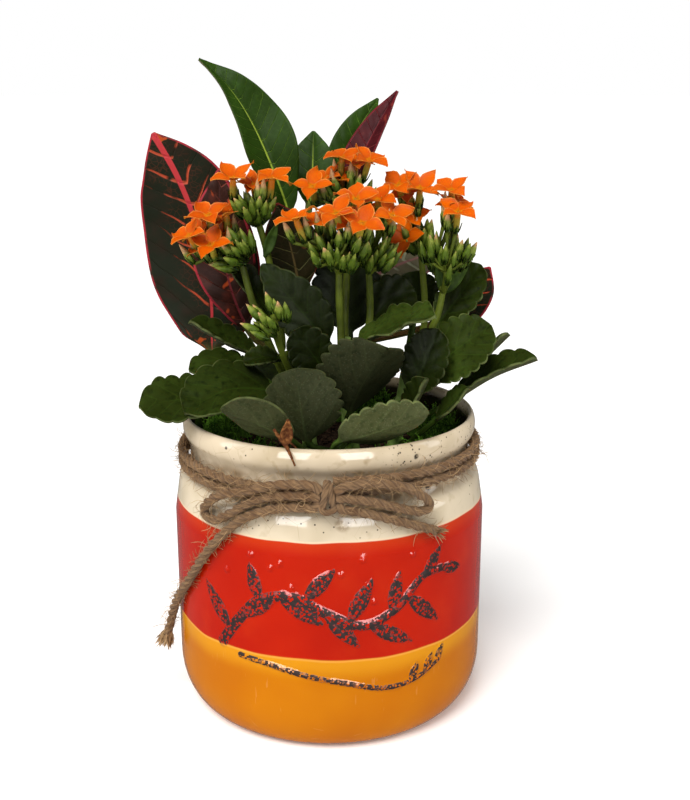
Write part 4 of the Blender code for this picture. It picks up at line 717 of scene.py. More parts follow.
def glazed_stoneware():
    """Glossy dipped glaze in three bands over a cream body, crazed and a little grimy.

    A fired glaze has an even mirror gloss, breaks paler where two bands meet and over
    raised work, and shows fine crazing and pinhole specks. The inner wall below the rim is
    painted dark as shade.
    """
    chosen = settings("pot")
    material, tree = new_finish("glazed_stoneware")
    where, raised, rubbed = surface(tree, "raised", "rubbed")
    side, _, height = add(tree, "ShaderNodeSeparateXYZ", {0: where}).outputs

    # Where the glazes meet, hand dipped: the lines wander by up to 2.4 mm
    ripple = add(tree, "ShaderNodeTexNoise", {"Vector": where, "Scale": 45.0, "Detail": 1.0})
    level = add(tree, "ShaderNodeMath", {0: ripple, 1: 0.0024, 2: height}, operation="MULTIPLY_ADD")
    upper, lower = chosen.upper_line + 0.0012, chosen.lower_line + 0.0012
    red = layered(tree, chosen.red, [
        (share(tree, mottle(tree, where, 30, 0.4, 0.7), 0.0, 1.0, 0.6), "A01200"),
        (share(tree, mottle(tree, where, 12, 0.5, 0.8), 0.0, 1.0, 0.35), "B82C06"),
        (share(tree, level, upper - 0.006, upper, 0.6), "BE3A10")])
    yellow = layered(tree, chosen.yellow, [
        (mottle(tree, where, 30, 0.4, 0.7), "B46400"),
        (share(tree, level, lower - 0.009, lower - 0.001, 0.75), "D28E14")])

    # The cream glaze: crazing, specks, a patchy darker band in the groove at 93 to 108 mm,
    # and painted shade on the inner wall
    crack = add(tree, "ShaderNodeTexVoronoi", {"Vector": where, "Scale": 1 / 0.009},
                feature="DISTANCE_TO_EDGE").outputs["Distance"]
    speck = add(tree, "ShaderNodeTexVoronoi", {"Vector": where, "Scale": 1 / 0.0026})
    pinhole = share(tree, speck.outputs["Distance"], 0.16, 0.08)
    spatter = add(tree, "ShaderNodeTexVoronoi", {"Vector": where, "Scale": 1 / 0.0014})
    spatter = share(tree, spatter.outputs["Distance"], 0.30, 0.2)
    rim_right = share(tree, side, 0.016, 0.027, 1.0, [share(tree, height, 0.1075, 0.1095)])
    # The groove from 93.5 to 107.5 mm, darker in patches
    groove = share(tree, height, 0.1075, 0.103, 0.9, [share(tree, height, 0.0935, 0.0965)])
    cream = layered(tree, chosen.cream, [
        (mottle(tree, where, 18, 0.45, 0.7), "B4A284"),
        (mottle(tree, where, 5, 0.6, 0.8), "A48F6E"),
        (share(tree, height, 0.0965, 0.0935, 0.35), "D2C6AE"),
        (share(tree, mottle(tree, where, 6, 0.3, 0.75), 0.0, 1.0, 1.0, [groove]), "7E6648"),
        (share(tree, crack, 0.015, 0.003, 0.45, [mottle(tree, where, 14, 0.46, 0.6)]),
         "97805E"),
        (share(tree, pinhole, 0.0, 1.0, 1.0, [mottle(tree, where, 22, 0.56, 0.62)]),
         "2A2018"),
        (share(tree, spatter, 0.0, 1.0, 0.9, [rim_right, mottle(tree, where, 3.5, 0.5, 0.54)]),
         "1E1712")])
    # Painted shade: the inner wall below the rim, inside the pot's mouth, is painted near black
    flat = add(tree, "ShaderNodeVectorMath", {0: where, 1: (1, 1, 0)}, operation="MULTIPLY")
    axis_away = add(tree, "ShaderNodeVectorMath", {0: flat}, operation="LENGTH").outputs["Value"]
    cream = layered(tree, cream, [
        (share(tree, level, 0.1160, 0.1125, 1.0, [share(tree, axis_away, 0.0536, 0.0528)]),
         "241C12")])
    for place, radius, code, strength in MARKS:  # chips and runs
        away = add(tree, "ShaderNodeVectorMath", {0: where, 1: [c * MM for c in place]},
                   operation="DISTANCE").outputs["Value"]
        cream = layered(tree, cream, [
            (share(tree, away, radius * MM, radius * MM * 0.5, strength,
                   [mottle(tree, where, 1.2, 0.3, 0.5)]), code)])
    colour = layered(tree, yellow, [
        (share(tree, level, lower - 0.0006, lower + 0.0003), "DC9A3A"),
        (share(tree, level, lower + 0.0002, lower + 0.0009), red),
        (share(tree, level, upper - 0.0005, upper), "DCC3A2"),
        (share(tree, level, upper, upper + 0.0008), cream)])

    # The raised work: thinner glaze on top, rubbed with a dark wash that has flaked
    grain = add(tree, "ShaderNodeTexVoronoi", {"Vector": where, "Scale": 1 / 0.0007})
    flecks = share(tree, grain.outputs["Color"], 0.28, 0.36)
    paint = share(tree, rubbed, 0.12, 0.40, 0.98,
                  [flecks, mottle(tree, where, 3.0, 0.30, 0.44, 4.0)])
    scratch = add(tree, "ShaderNodeTexNoise", {
        "Vector": add(tree, "ShaderNodeMapping", {"Vector": where, "Rotation": (0.9, 0.2, 0.4),
                                                  "Scale": (1, 18, 1)}),
        "Scale": 120.0, "Detail": 1.0})
    colour = layered(tree, colour, [
        (share(tree, raised, 0.2, 0.9, 0.25), "B81C04"),
        (share(tree, scratch, 0.70, 0.74, 0.14, [share(tree, height, 0.040, 0.030)]),
         "E0A868"),
        (paint, "160B04")])
    dull = add(tree, "ShaderNodeMix", {0: paint, 2: chosen.gloss, 3: 0.8})
    orange_peel = add(tree, "ShaderNodeTexNoise", {"Vector": where, "Scale": 160.0, "Detail": 1.0})
    close_finish(tree, orange_peel, 0.04, Base_Color=colour, Roughness=dull, IOR=1.42)
    return material


def jute():
    """Spun jute: dull pale-brown bast fibres along each ply, with painted shade in the creases."""
    chosen = settings("twine")
    material, tree = new_finish("jute_twine")
    where, along, around = surface(tree, "along", "around")
    strand = add(tree, "ShaderNodeCombineXYZ", {0: around, 1: along})
    stretch = add(tree, "ShaderNodeMapping", {"Vector": strand, "Scale": (1, 9, 1)})
    fibre = add(tree, "ShaderNodeTexNoise", {"Vector": stretch, "Scale": 42.0, "Detail": 3.0})
    # Painted shade: darker in the creases between the plies
    ply = add(tree, "ShaderNodeMath", {0: around, 1: 3.0}, operation="MULTIPLY")
    painted_crease_shade = add(tree, "ShaderNodeMath", {0: ply, 1: 0.5}, operation="PINGPONG")
    colour = layered(tree, chosen.colour, [
        (share(tree, fibre, 0.52, 0.72), "9A7A54"),
        (share(tree, fibre, 0.45, 0.28), "573D27"),
        (mottle(tree, where, 7, 0.5, 0.75), "66482C"),
        (share(tree, painted_crease_shade, 0.14, 0.0, 0.75), "46301E")])
    close_finish(tree, fibre, 0.4, Base_Color=colour, Roughness=0.92, IOR=1.3,
                 Sheen_Weight=0.06, Sheen_Roughness=0.5)
    return material


def tinted(name, dark, light, roughness, size_mm, height_mm, **inputs):
    """A matt natural finish between two colours by patches and each copy's own tint."""
    material, tree = new_finish(name)
    where, own = surface(tree, "tint")
    patches = mottle(tree, where, size_mm, 0.3, 0.7, 4.0)
    mix = add(tree, "ShaderNodeMath", {0: patches, 1: own}, operation="ADD")
    colour = layered(tree, dark, [(share(tree, mix, 0.1, 1.6), light)])
    close_finish(tree, patches, height_mm, Base_Color=colour, Roughness=roughness, IOR=1.25,
                 Specular_IOR_Level=0.15, **inputs)
    return material


def kalanchoe_leaf():
    """Fleshy leaf: waxy dark green above, matt grey-green with a fine speckle beneath."""
    chosen = settings("leaves")
    material, tree = new_finish("kalanchoe_leaf")
    where, under, rim, vein, midrib, stalk, painted_lighting = surface(
        tree, "under", "rim", "vein", "midrib", "stalk", "painted_lighting")
    ribs = add(tree, "ShaderNodeMath", {0: vein, 1: 0.5}, operation="PINGPONG")
    inside = share(tree, rim, 0.0, 4.0)
    top = layered(tree, chosen.kalanchoe_top, [
        (mottle(tree, where, 13, 0.42, 0.72, 3.0), "313F13"),
        (mottle(tree, where, 2.2, 0.52, 0.8), "141D05"),
        (share(tree, ribs, 0.08, 0.0, 0.2, [inside]), "3A5018"),
        (share(tree, midrib, 1.0, 0.1, 0.4), "3A5218")])
    dust = add(tree, "ShaderNodeTexVoronoi", {"Vector": where, "Scale": 1 / 0.0009})
    beneath = layered(tree, chosen.kalanchoe_under, [
        (mottle(tree, where, 11, 0.42, 0.7, 3.0), "464A2E"),
        (mottle(tree, where, 1.8, 0.5, 0.8), "2A3218"),
        (share(tree, dust.outputs["Distance"], 0.35, 0.1, 0.5), "5E6046"),
        (share(tree, ribs, 0.10, 0.0, 0.25, [inside]), "525C36"),
        (share(tree, midrib, 1.0, 0.1, 0.45), "56643A")])
    colour = layered(tree, top, [
        (share(tree, under, 0.4, 0.6), beneath),
        (share(tree, rim, 0.5, 0.05, 0.5, [mottle(tree, where, 6, 0.35, 0.6)]), "6C7646"),
        (share(tree, stalk, 0.0, 1.0, 0.8), "42581E")])
    # Painted light and shade: the whole leaf is scaled lighter or darker by how lit it stands
    colour = add(tree, "ShaderNodeVectorMath", {0: colour, "Scale": painted_lighting}, operation="SCALE")
    gloss = add(tree, "ShaderNodeMix", {0: under, 2: 0.4, 3: 0.62})
    skin = add(tree, "ShaderNodeTexNoise", {"Vector": where, "Scale": 700.0, "Detail": 2.0})
    close_finish(tree, skin, 0.08, Base_Color=colour, Roughness=gloss, IOR=1.2,
                 Specular_IOR_Level=0.15, Subsurface_Weight=0.06, Subsurface_Scale=0.002)
    return material


def croton_leaf(name, ground, blotch, spots, veins, midrib, margin):
    """Leathery glossy leaf whose veins, midrib and margin are coloured over a blotched ground.

    blotch and spots give a colour and the noise levels they lie between, veins and margin
    a colour, a width and the levels where they break off, midrib a colour and a width. The
    last value of veins is how far in mm they reach from the midrib.
    """
    material, tree = new_finish(name)
    where, under, rim, vein, rib, stalk = surface(tree, "under", "rim", "vein", "midrib", "stalk")
    vein_colour, vein_width, vein_levels, reach = veins
    rib_colour, rib_width = midrib
    margin_colour, margin_width, margin_levels = margin
    ribs = add(tree, "ShaderNodeMath", {0: vein, 1: 0.5}, operation="PINGPONG")
    fine = share(tree, ribs, 0.04, 0.0)
    line_mask = share(tree, rib, reach, reach * 0.3, 1.0,
                      [mottle(tree, where, 9, *vein_levels, 2.0)])
    width = add(tree, "ShaderNodeMapRange", {0: rib, 1: 0.0, 2: reach, 3: 1.5, 4: 0.5})
    ribs_wide = add(tree, "ShaderNodeMath", {0: ribs, 1: width}, operation="DIVIDE")
    lines = share(tree, ribs_wide, vein_width, vein_width * 0.4, 1.0, [line_mask])
    cells = add(tree, "ShaderNodeTexVoronoi", {"Vector": where, "Scale": 1 / 0.0022},
                feature="DISTANCE_TO_EDGE").outputs["Distance"]
    net = share(tree, cells, 0.07, 0.02, 0.07, [line_mask])
    colour = layered(tree, ground, [
        (mottle(tree, where, 7, *blotch[1], 3.0), blotch[0]),
        (share(tree, fine, 0.0, 1.0, 0.3), blotch[0]),
        (net, vein_colour),
        (mottle(tree, where, 5, *spots[1], 1.0), spots[0]),
        (lines, vein_colour),
        (share(tree, rib, rib_width, rib_width * 0.5), rib_colour),
        (share(tree, rim, margin_width, margin_width * 0.4, 1.0,
               [mottle(tree, where, 9, *margin_levels)]), margin_colour),
        (share(tree, under, 0.4, 0.6, 0.35), "7A6250"),
        (share(tree, stalk, 0.0, 1.0, 0.85), "55572A")])
    relief = add(tree, "ShaderNodeMath", {0: fine, 1: lines}, operation="ADD")
    close_finish(tree, relief, 0.15, Base_Color=colour, IOR=1.25,
                 Specular_IOR_Level=0.18,
                 Roughness=add(tree, "ShaderNodeMix", {0: under, 2: 0.38, 3: 0.6}))
    return material


def petal():
    """Thin satin petal: bright orange above with paler edges and a yellow throat."""
    chosen = settings("flowers")
    material, tree = new_finish("kalanchoe_petal")
    where, out, rim, under, own = surface(tree, "out", "rim", "under", "tint")
    colour = layered(tree, chosen.petal, [
        (share(tree, own, 0.0, 1.0, 0.7, [mottle(tree, where, 5, 0.35, 0.65)]), "B64000"),
        (share(tree, rim, 0.8, 1.0, 0.8), "EE9640"),
        # Darker toward the throat: partly the petal's own redder orange, partly painted shade
        (share(tree, out, 0.5, 0.0, 0.5), "B64000"),
        (share(tree, out, 0.16, 0.02, 0.9), "C87404"),
        (share(tree, under, 0.4, 0.6, 0.85), chosen.petal_under)])
    close_finish(tree, mottle(tree, where, 0.8, 0.3, 0.7), 0.04, Base_Color=colour, Roughness=0.5,
                 IOR=1.25, Specular_IOR_Level=0.3, Subsurface_Weight=0.12, Subsurface_Scale=0.002)
    return material


def graded(name, steps, roughness, own_step=0.25):
    """A finish whose colour runs from a copy's foot to its tip through given steps."""
    material, tree = new_finish(name)
    where, out, own = surface(tree, "out", "tint")
    moved = add(tree, "ShaderNodeMath", {0: own, 1: own_step, 2: out}, operation="MULTIPLY_ADD")
    layers = [(share(tree, moved, start - 0.15, start + 0.05), code) for start, code in steps[1:]]
    layers.append((mottle(tree, where, 1.5, 0.5, 0.9, 3.0), steps[0][1]))
    close_finish(tree, mottle(tree, where, 0.7, 0.3, 0.7), 0.04, Roughness=roughness, IOR=1.25,
                 Specular_IOR_Level=0.25, Subsurface_Weight=0.05, Subsurface_Scale=0.0015,
                 Base_Color=layered(tree, steps[0][1], layers))
    return material


def studio_floor():
    """Matt white paper, faintly mottled and lit evenly, so only the pot's shadow shows on it."""
    chosen = settings("stage")
    material, tree = new_finish("studio_paper")
    where, = surface(tree)
    colour = layered(tree, chosen.floor, [
        (share(tree, mottle(tree, where, 40, 0.3, 0.7), 0.0, 1.0, 0.1), "F2F1EE")])
    close_finish(tree, Base_Color=colour, Roughness=0.9, Emission_Color=linear("FFFFFF"),
                 Emission_Strength=chosen.floor_glow)
    return material


# Pot

def turned(profile, angles):
    """Points and faces of a closed solid turned from an outline that ends on the axis."""
    points = [(0.0, 0.0, profile[0][1])]
    for radius, height in profile[1:-1]:
        for a in angles:
            points.append((radius * math.sin(a), -radius * math.cos(a), height))
    points.append((0.0, 0.0, profile[-1][1]))
    count, last = len(angles), len(points) - 1
    faces = [tuple(1 + i for i in face) for face in grid_faces(len(profile) - 2, count, True)]
    top = last - count
    for k in range(count):
        n = (k + 1) % count
        faces.append((0, 1 + n, 1 + k))
        faces.append((top + k, top + n, last))
    return points, faces


def foot_curve(steps):
    """The rounded foot's outer side, as (radius, height)."""
    return [(FOOT_RADIUS + (BODY_RADIUS - FOOT_RADIUS) * math.sin(a), FOOT_RISE * (1 - math.cos(a)))
            for a in [math.pi / 2 * i / steps for i in range(steps + 1)]]


def refined(outline, step):
    """An outline on a smooth curve through its points, about a step between points."""
    path = [Vector((r, 0, z)) for r, z in outline]
    count = max(2, round(path_length(path) / step))
    return [(p.x, p.z) for p in smooth_path(path, count)]


def stroke_height(angles, heights, points, half_width, taper=0.0):
    """How high a raised stroke stands at each place, from 0 to 1, on a smooth path."""
    path = [(p.x, p.y) for p in smooth_path([(a, z, 0) for a, z in points], 6 * len(points))]
    best = np.zeros(angles.shape)
    for i, ((a0, z0), (a1, z1)) in enumerate(zip(path, path[1:])):
        dx, dz = (a1 - a0) * ARC, z1 - z0
        px, pz = (angles - a0) * ARC, heights - z0
        t = np.clip((px * dx + pz * dz) / max(dx * dx + dz * dz, 1e-9), 0, 1)
        away = np.hypot(px - t * dx, pz - t * dz)
        width = half_width * (1 - taper * (i + t) / len(path))
        best = np.maximum(best, np.clip(1 - (away / width) ** 2, 0, 1))
    return best


def leaf_height(angles, heights, angle, height, heading, length, width):
    """How high a raised almond-shaped leaf with a sunk rib stands at each place."""
    c, s = math.cos(math.radians(heading)), math.sin(math.radians(heading))
    dx, dz = (angles - angle) * ARC, heights - height
    along, across = dx * c + dz * s, dz * c - dx * s
    half = width / 2 * np.sin(math.pi * np.clip(along / length, 0.001, 0.999) ** 0.85)
    swell = np.sqrt(np.clip(1 - (across / half) ** 2, 0, 1))
    rib = 1 - 0.6 * np.exp(-(across / 0.5) ** 2)
    return np.where((along > 0) & (along < length), swell * rib, 0)


def raised_work(points):
    """Height of the raised sprig and beads at the pot's points, and where paint is rubbed."""
    points = np.array(points)
    angles = np.degrees(np.arctan2(points[:, 0], -points[:, 1]))
    heights = points[:, 2]
    outside = np.hypot(points[:, 0], points[:, 1]) > BODY_RADIUS - 1.5
    high, rubbed = np.zeros(len(points)), np.zeros(len(points))
    near = outside & (np.abs(angles) < 58) & (heights > 18) & (heights < 82)
    a, z = angles[near], heights[near]
    work = np.maximum.reduce(
        [stroke_height(a, z, SPRIG_STEM, 2.5, 0.3), stroke_height(a, z, SPRIG_TRAIL, 1.3, 0.2)]
        + [leaf_height(a, z, *leaf) for leaf in SPRIG_LEAVES])
    rubbed[near] = work
    beads = np.zeros(len(a))
    for angle, height in BEADS:
        away = np.hypot((a - angle) * ARC, z - height)
        beads = np.maximum(beads, np.clip(1 - (away / 1.3) ** 2, 0, 1))
    high[near] = np.maximum(work, beads)
    return high, rubbed


def build_pot():
    """The jar, fine enough at the front for its raised sprig and beads."""
    chosen = settings("pot")
    wall = [(BODY_RADIUS + 0.2 * (z - FOOT_RISE) / 58, z) for z in np.arange(20.6, 78, 0.6)]
    shoulder = refined(OUTER_WALL + [INNER_WALL[0]], 0.9)
    inside = refined(INNER_WALL, 3.0)
    profile = ([(0, 1.2), (30, 1.2), (44, 1.0), (46.2, 0.0), (46.9, 0.0)] + foot_curve(10) + wall
               + shoulder + inside[1:] + [(0, 5)])
    front = np.radians(np.arange(-56, 56.01, 0.56))
    back = np.radians(np.arange(59, 303, 3.0))
    points, faces = turned(profile, list(front) + list(back))
    high, rubbed = raised_work(points)
    points = np.array(points)
    out = points[:, :2] / np.maximum(np.hypot(points[:, 0], points[:, 1]), 1e-9)[:, None]
    points[:, :2] += out * (high * chosen.relief / MM)[:, None]
    mesh = make_mesh("pot", points, faces, {"raised": high, "rubbed": rubbed})
    mesh.materials.append(glazed_stoneware())
    return finish_piece("pot_glazed", mesh, "glaze", "pot")


# Twine

def jar_radius(height):
    wall = foot_curve(4) + OUTER_WALL
    return float(np.interp(height, [z for _, z in wall], [r for r, _ in wall]))


def on_jar(angle, height, lift):
    """A point beside the pot's wall, at degrees to the right of the front."""
    radius = max(BOW_RADIUS, jar_radius(height) + TWINE_CLEAR) + lift
    a = math.radians(angle)
    return Vector((radius * math.sin(a), -radius * math.cos(a), height))


def curve_object(name, path, cyclic=False):
    curve = bpy.data.curves.new(name, "CURVE")
    curve.dimensions = "3D"
    spline = curve.splines.new("POLY")
    spline.points.add(len(path) - 1)
    spline.use_cyclic_u = cyclic
    for knot, place in zip(spline.points, path):
        knot.co = (*(MM * c for c in place), 1.0)
    return make_object(name, curve)


def ply_profile(plies=3, radius=TWINE / 2):
    """The outline of plies laid together: round lobes that meet in deep creases."""
    ply = radius / (1 + 1 / math.sin(math.pi / plies))
    away = radius - ply
    places = []
    for k in range(8 * plies):
        a = 2 * math.pi * k / (8 * plies)
        off = (a + math.pi / plies) % (2 * math.pi / plies) - math.pi / plies
        reach = away * math.cos(off) + math.sqrt(max(ply ** 2 - (away * math.sin(off)) ** 2, 0))
        reach += (radius - reach) * FILLED
        places.append((reach * math.cos(a), reach * math.sin(a), 0))
    return curve_object("ply_profile", places, cyclic=True)


def cord_mesh(tree, path, finish, radius=TWINE / 2):
    chosen = settings("twine")
    profile = ply_profile(radius=radius)
    mesh = grown(curve_object("cord", path), tree, {
        "Profile": profile, "Lay Length": chosen.lay, "Spacing": 0.0006, "Rough": 0.0003,
        "Finish": finish})
    bpy.data.objects.remove(profile, do_unlink=True)
    return mesh


def wrap_path():
    turns, count = 4 * math.pi - 2 * math.radians(WRAP_END), 240
    path = []
    for i in range(count):
        a = math.radians(WRAP_END) + turns * i / (count - 1)
        height = WRAP_TOP - WRAP_PITCH * a / (2 * math.pi)
        path.append(Vector((WRAP_RADIUS * math.sin(a), -WRAP_RADIUS * math.cos(a), height)))
    return path


def fibre_template(bend):
    """One loose bast fibre a unit long, curved to one side."""
    path = [Vector((bend * t * t, bend * 0.35 * math.sin(4 * t), t))
            for t in [i / 5 for i in range(6)]]
    return make_mesh("fibre", *tube(path, [FIBRE] * 5 + [FIBRE / 3], 3))


def loose_fibres(trees, paths, finish, seed, per_mm, low, high):
    """Fibres standing off the twine all along, most of them nearly laid down on it."""
    draw = random.Random(seed)
    meshes = []
    for bend in (0.25, 0.6, -0.4):
        spots = []
        for path in paths:
            heading = tangents(path)
            for _ in range(round(path_length(path) * per_mm / 3)):
                i = draw.randrange(len(path) - 1)
                centre = path[i].lerp(path[i + 1], draw.random())
                side = heading[i].orthogonal().normalized()
                a = draw.random() * 2 * math.pi
                out = swung(side, heading[i].cross(side), a)
                aim = heading[i] * draw.choice((-1, 1)) * draw.uniform(0.5, 3.2) + out
                size = draw.uniform(low, high) * (0.5 + draw.random())
                spots.append((centre + out * TWINE * 0.42, aim.normalized(), draw.random() * 6.3,
                              (size, size, size), draw.random()))
        meshes.append(scattered(trees["scatter"], fibre_template(bend), finish, spots))
    return meshes


def frayed_end(trees, path, finish, count):
    """The plies and fibres that spread apart where a cut end has come undone."""
    draw = random.Random(3)
    ahead = (path[-1] - path[-3]).normalized()
    meshes = []
    for bend, thick in ((0.2, 1.0), (-0.25, 1.6), (0.1, 2.6)):
        spots = []
        for _ in range(count):
            side = Vector([draw.gauss(0, 1) for _ in range(3)])
            side = (side - side.dot(ahead) * ahead).normalized()
            aim = (ahead + side * draw.uniform(0.0, 0.38)).normalized()
            size = draw.uniform(4.5, 8.0)
            spots.append((path[-1] - ahead * 2.5 + side * draw.uniform(0, 1.5), aim,
                          draw.random() * 6.3, (size * thick, size * thick, size), draw.random()))
        meshes.append(scattered(trees["scatter"], fibre_template(bend / thick), finish, spots))
    return meshes


def build_twine(trees):
    """The wrap, the bow's loops and ends, the knot and the loose fibres."""
    finish = jute()
    hair = tinted("jute_fibre", "70543A", "B4946C", 0.9, 6, 0.02)
    wrap = wrap_path()
    mesh = cord_mesh(trees["twine"], wrap, finish)
    finish_piece("twine_round_neck", mesh, "jute_twine", "twine_wrap")
    paths = {"twine_wrap": wrap}
    knot_at = on_jar(0.3, 100.8, 0.65)
    for name, route in BOW.items():
        path = smooth_path([on_jar(*step) for step in route], 60)
        paths[name] = path
        tucked = [path[0].lerp(knot_at, 0.5)] + path
        if "loop" in name:
            tucked.append(path[-1].lerp(knot_at, 0.5))
        piece = finish_piece(name.replace("twine", "bow"),
                             cord_mesh(trees["twine"], tucked, finish), "jute_twine", name)
    strands = []
    for shift, lean, reach in ((-1.3, 0.9, 1.0), (1.3, -0.7, 0.88)):
        route = [knot_at + Vector((shift + lean * math.sin(a), 2.2 - 3.2 * math.cos(a) * reach,
                                   4.6 * math.sin(a) * reach))
                 for a in [math.radians(d) for d in range(-100, 101, 20)]]
        strands.append(cord_mesh(trees["twine"], smooth_path(route, 30), finish, radius=1.4))
    lobe = [knot_at + Vector(p) for p in [(-2.2, 0.5, -1.5), (-2.4, -0.9, -3.8), (0, -1.5, -4.8),
                                          (2.2, -0.9, -3.6), (2.1, 0.6, -1.4)]]
    strands.append(cord_mesh(trees["twine"], smooth_path(lobe, 24), finish, radius=1.2))
    finish_piece("bow_knot", fused("bow_knot", strands), "jute_twine", "twine_knot")
    meshes = loose_fibres(trees, paths.values(), hair, 5, 4.0, 2.0, 4.6)
    meshes += frayed_end(trees, paths["twine_tail_left"], hair, 80)
    meshes += frayed_end(trees, paths["twine_tail_right"], hair, 9)
    finish_piece("twine_fuzz", fused("twine_fuzz", meshes), "jute_twine")


# Leaves

def bent(part, fold, curl):
    """Across and up shares of a half blade that is folded and curled, in degrees."""
    f, c = np.radians(fold), np.radians(curl)
    c = np.where(np.abs(c) < 0.01, 0.01, c)
    end = f + c * part
    return (np.sin(end) - np.sin(f)) / c, (np.cos(f) - np.cos(end)) / c, end


def beyond(place, inner):
    """The point a little past a place, straight out from an inner one."""
    away = place - inner
    return place + away / np.linalg.norm(away) * 0.25


def leaf_mesh(name, route, stalk, face, half_width, outline, lobes=0, fold=(8, 8), curl=(0, 0),
              wave=0.0, stalk_radius=1.1, thickness=1.5, edge=0.8, columns=17, rows=90, painted_lighting=1.0,
              rib_taper=0.8, vein_gap=5.0, vein_slope=0.75, veining=0.15, seed=0):
    """A stalked leaf as one closed skin, with values for its veins, midrib and rim.

    Its rings run from the stalk's foot to the blade's tip. Each goes across the top, round
    the right edge, back below and round the left edge.
    """
    path = smooth_path(route, PATH_POINTS)
    heading = tangents(path)
    base = min(range(PATH_POINTS), key=lambda i: (path[i] - Vector(route[stalk])).length)
    step = path_length(path) / (PATH_POINTS - 1)
    length = step * (PATH_POINTS - 1 - base)
    face = [Vector(f).normalized() for f in face]
    pointed = outline[-1][1] < 0.1
    s = np.linspace(-1, 1, columns)
    s = np.sign(s) * (1 - (1 - np.abs(s)) ** 1.25)
    part, way = np.abs(s), np.where(s < 0, -1.0, 1.0)
    folds, curls = np.where(s > 0, fold[1], fold[0]), np.where(s > 0, curl[1], curl[0])
    rings = [(q, 0.0) for q in np.linspace(0, 0.93, 9)]
    rings += [(1.0, 1 - (1 - t) ** 1.12) for t in np.linspace(0, 1, rows)]
    points, values = [], {"under": [], "rim": [], "vein": [], "midrib": [], "stalk": []}
    for q, t in rings:
        place = base * q if q < 1 else base + (PATH_POINTS - 1 - base) * t
        j = min(int(place), PATH_POINTS - 2)
        centre = path[j].lerp(path[j + 1], place - j)
        ahead = heading[j].lerp(heading[j + 1], place - j).normalized()
        up = face[0].lerp(face[-1], t)
        up = np.array((up - up.dot(ahead) * ahead).normalized())
        across = np.cross(np.array(ahead), up)

        # The blade's width, notched between its lobes and rounded off at a blunt tip
        reach = 1.0
        if lobes and t > LOBES_FROM:
            turn = (t - LOBES_FROM) / (1 - LOBES_FROM) * lobes
            reach = LOBE_NOTCH + (1 - LOBE_NOTCH) * (abs(math.sin(math.pi * turn)) ** 0.6 * 1.05)
        width = half_width * smooth_value(outline, t) * reach
        if t > 0.93 and not pointed:
            width *= math.sqrt(max(1 - ((t - 0.93) / 0.07) ** 2, 0.0))
        width = max(width, 0.25)
        blade = 0.0 if q < 1 else min(t / 0.10, 1.0) ** 2 * (3 - 2 * min(t / 0.10, 1.0))

        # Its fold, its waves and the swelling between its veins
        out, lift, end = bent(part, folds, curls)
        ripple = wave * part * np.sin(5 * math.pi * t + 2 * (s > 0))
        ripple = ripple + (0.5 * part ** 4 * (reach - LOBE_NOTCH) / 0.14 if lobes else 0)
        cloud = np.array([noise.noise(Vector((seed + t * length / 11, v * width / 9, seed * 0.37)))
                          for v in s])
        offset = width * s
        phase = (length * t - vein_slope * np.abs(offset) - 0.012 * offset ** 2) / vein_gap
        phase = phase + 0.35 * (s > 0) + 0.25 * cloud
        swell = 0.4 * cloud * part - veining * np.cos(2 * math.pi * phase) * np.minimum(
            part * 3, 1) * np.minimum((1 - part) * 4, 1)
        flat = np.outer(way * out * width, across) + np.outer(lift * width + (ripple + swell), up)
        facing = np.outer(np.cos(end), up) - np.outer(way * np.sin(end), across)

        # Its two skins, which draw in round the stalk, and the midrib sunk above, proud below
        rise = edge / 2 + (thickness - edge) / 2 * (1 - part)
        rib = np.exp(-(offset / 0.8) ** 2) * blade
        rod = np.outer(np.sin(s * math.pi / 2) * stalk_radius, across)
        crown = np.outer(np.cos(s * math.pi / 2) * stalk_radius, up)
        top, low = [np.array(centre) + blade * (flat + sign * facing * (rise + sink * rib)[:, None])
                    + (1 - blade) * (rod + sign * crown)
                    for sign, sink in ((1, -0.25), (-1, 0.35))]
        middle = (top + low) / 2
        points += [*top, beyond(middle[-1], middle[-2]), *low[::-1], beyond(middle[0], middle[1])]

        tip = length * (1 - t) if pointed else 9.0
        rim = np.minimum((1 - part) * width, tip * 0.5 + 0.1) * blade + 5 * (1 - blade)
        for key, upper, side in (("under", 0 * s, 0.5), ("rim", rim, 0.0),
                                 ("vein", phase, phase[-1]),
                                 ("midrib", np.abs(offset) + rib_taper * t, 9.0),
                                 ("stalk", 0 * s + 1 - blade, 1 - blade)):
            lower = upper + 1 if key == "under" else upper
            values[key] += [*upper, side, *lower[::-1], side]
    # How much lighter or darker the whole leaf is painted for the light and shade it stands in
    values["painted_lighting"] = [painted_lighting] * len(points)
    loop = 2 * columns + 2
    faces = [tuple(reversed(ring)) for ring in grid_faces(len(rings), loop, True)]
    last = (len(rings) - 1) * loop
    for start, turn in ((0, 1), (last, -1)):
        for k in range(columns):
            a, c = start + k, start + loop - 3 - k
            ends = (a, a + 1, c + 1) if k == columns - 1 else (a, a + 1, c, c + 1)
            faces.append(ends[::turn])
        faces.append((start, start + loop - 2, start + loop - 1)[::turn])
    return make_mesh(name, points, faces, values)


def build_kalanchoe_leaves(stems):
    finish = kalanchoe_leaf()
    for seed, (name, row) in enumerate(KALANCHOE_LEAVES.items()):
        stem, height, stalk, blade, face, half_width, painted_lighting, more = row
        route = stems[stem].seat(height, (stalk + blade)[0]) + stalk + blade
        more = dict(more)
        outline = more.pop("outline", ROUND)
        mesh = leaf_mesh(name, route, 2 + len(stalk), face, half_width, outline, seed=seed * 3.7,
                         vein_gap=7.5, vein_slope=1.1, veining=0.2, painted_lighting=painted_lighting, **more)
        mesh.materials.append(finish)
        finish_piece("leaf_" + name, mesh, "kalanchoe_leaf", "kalanchoe_leaf_" + name)


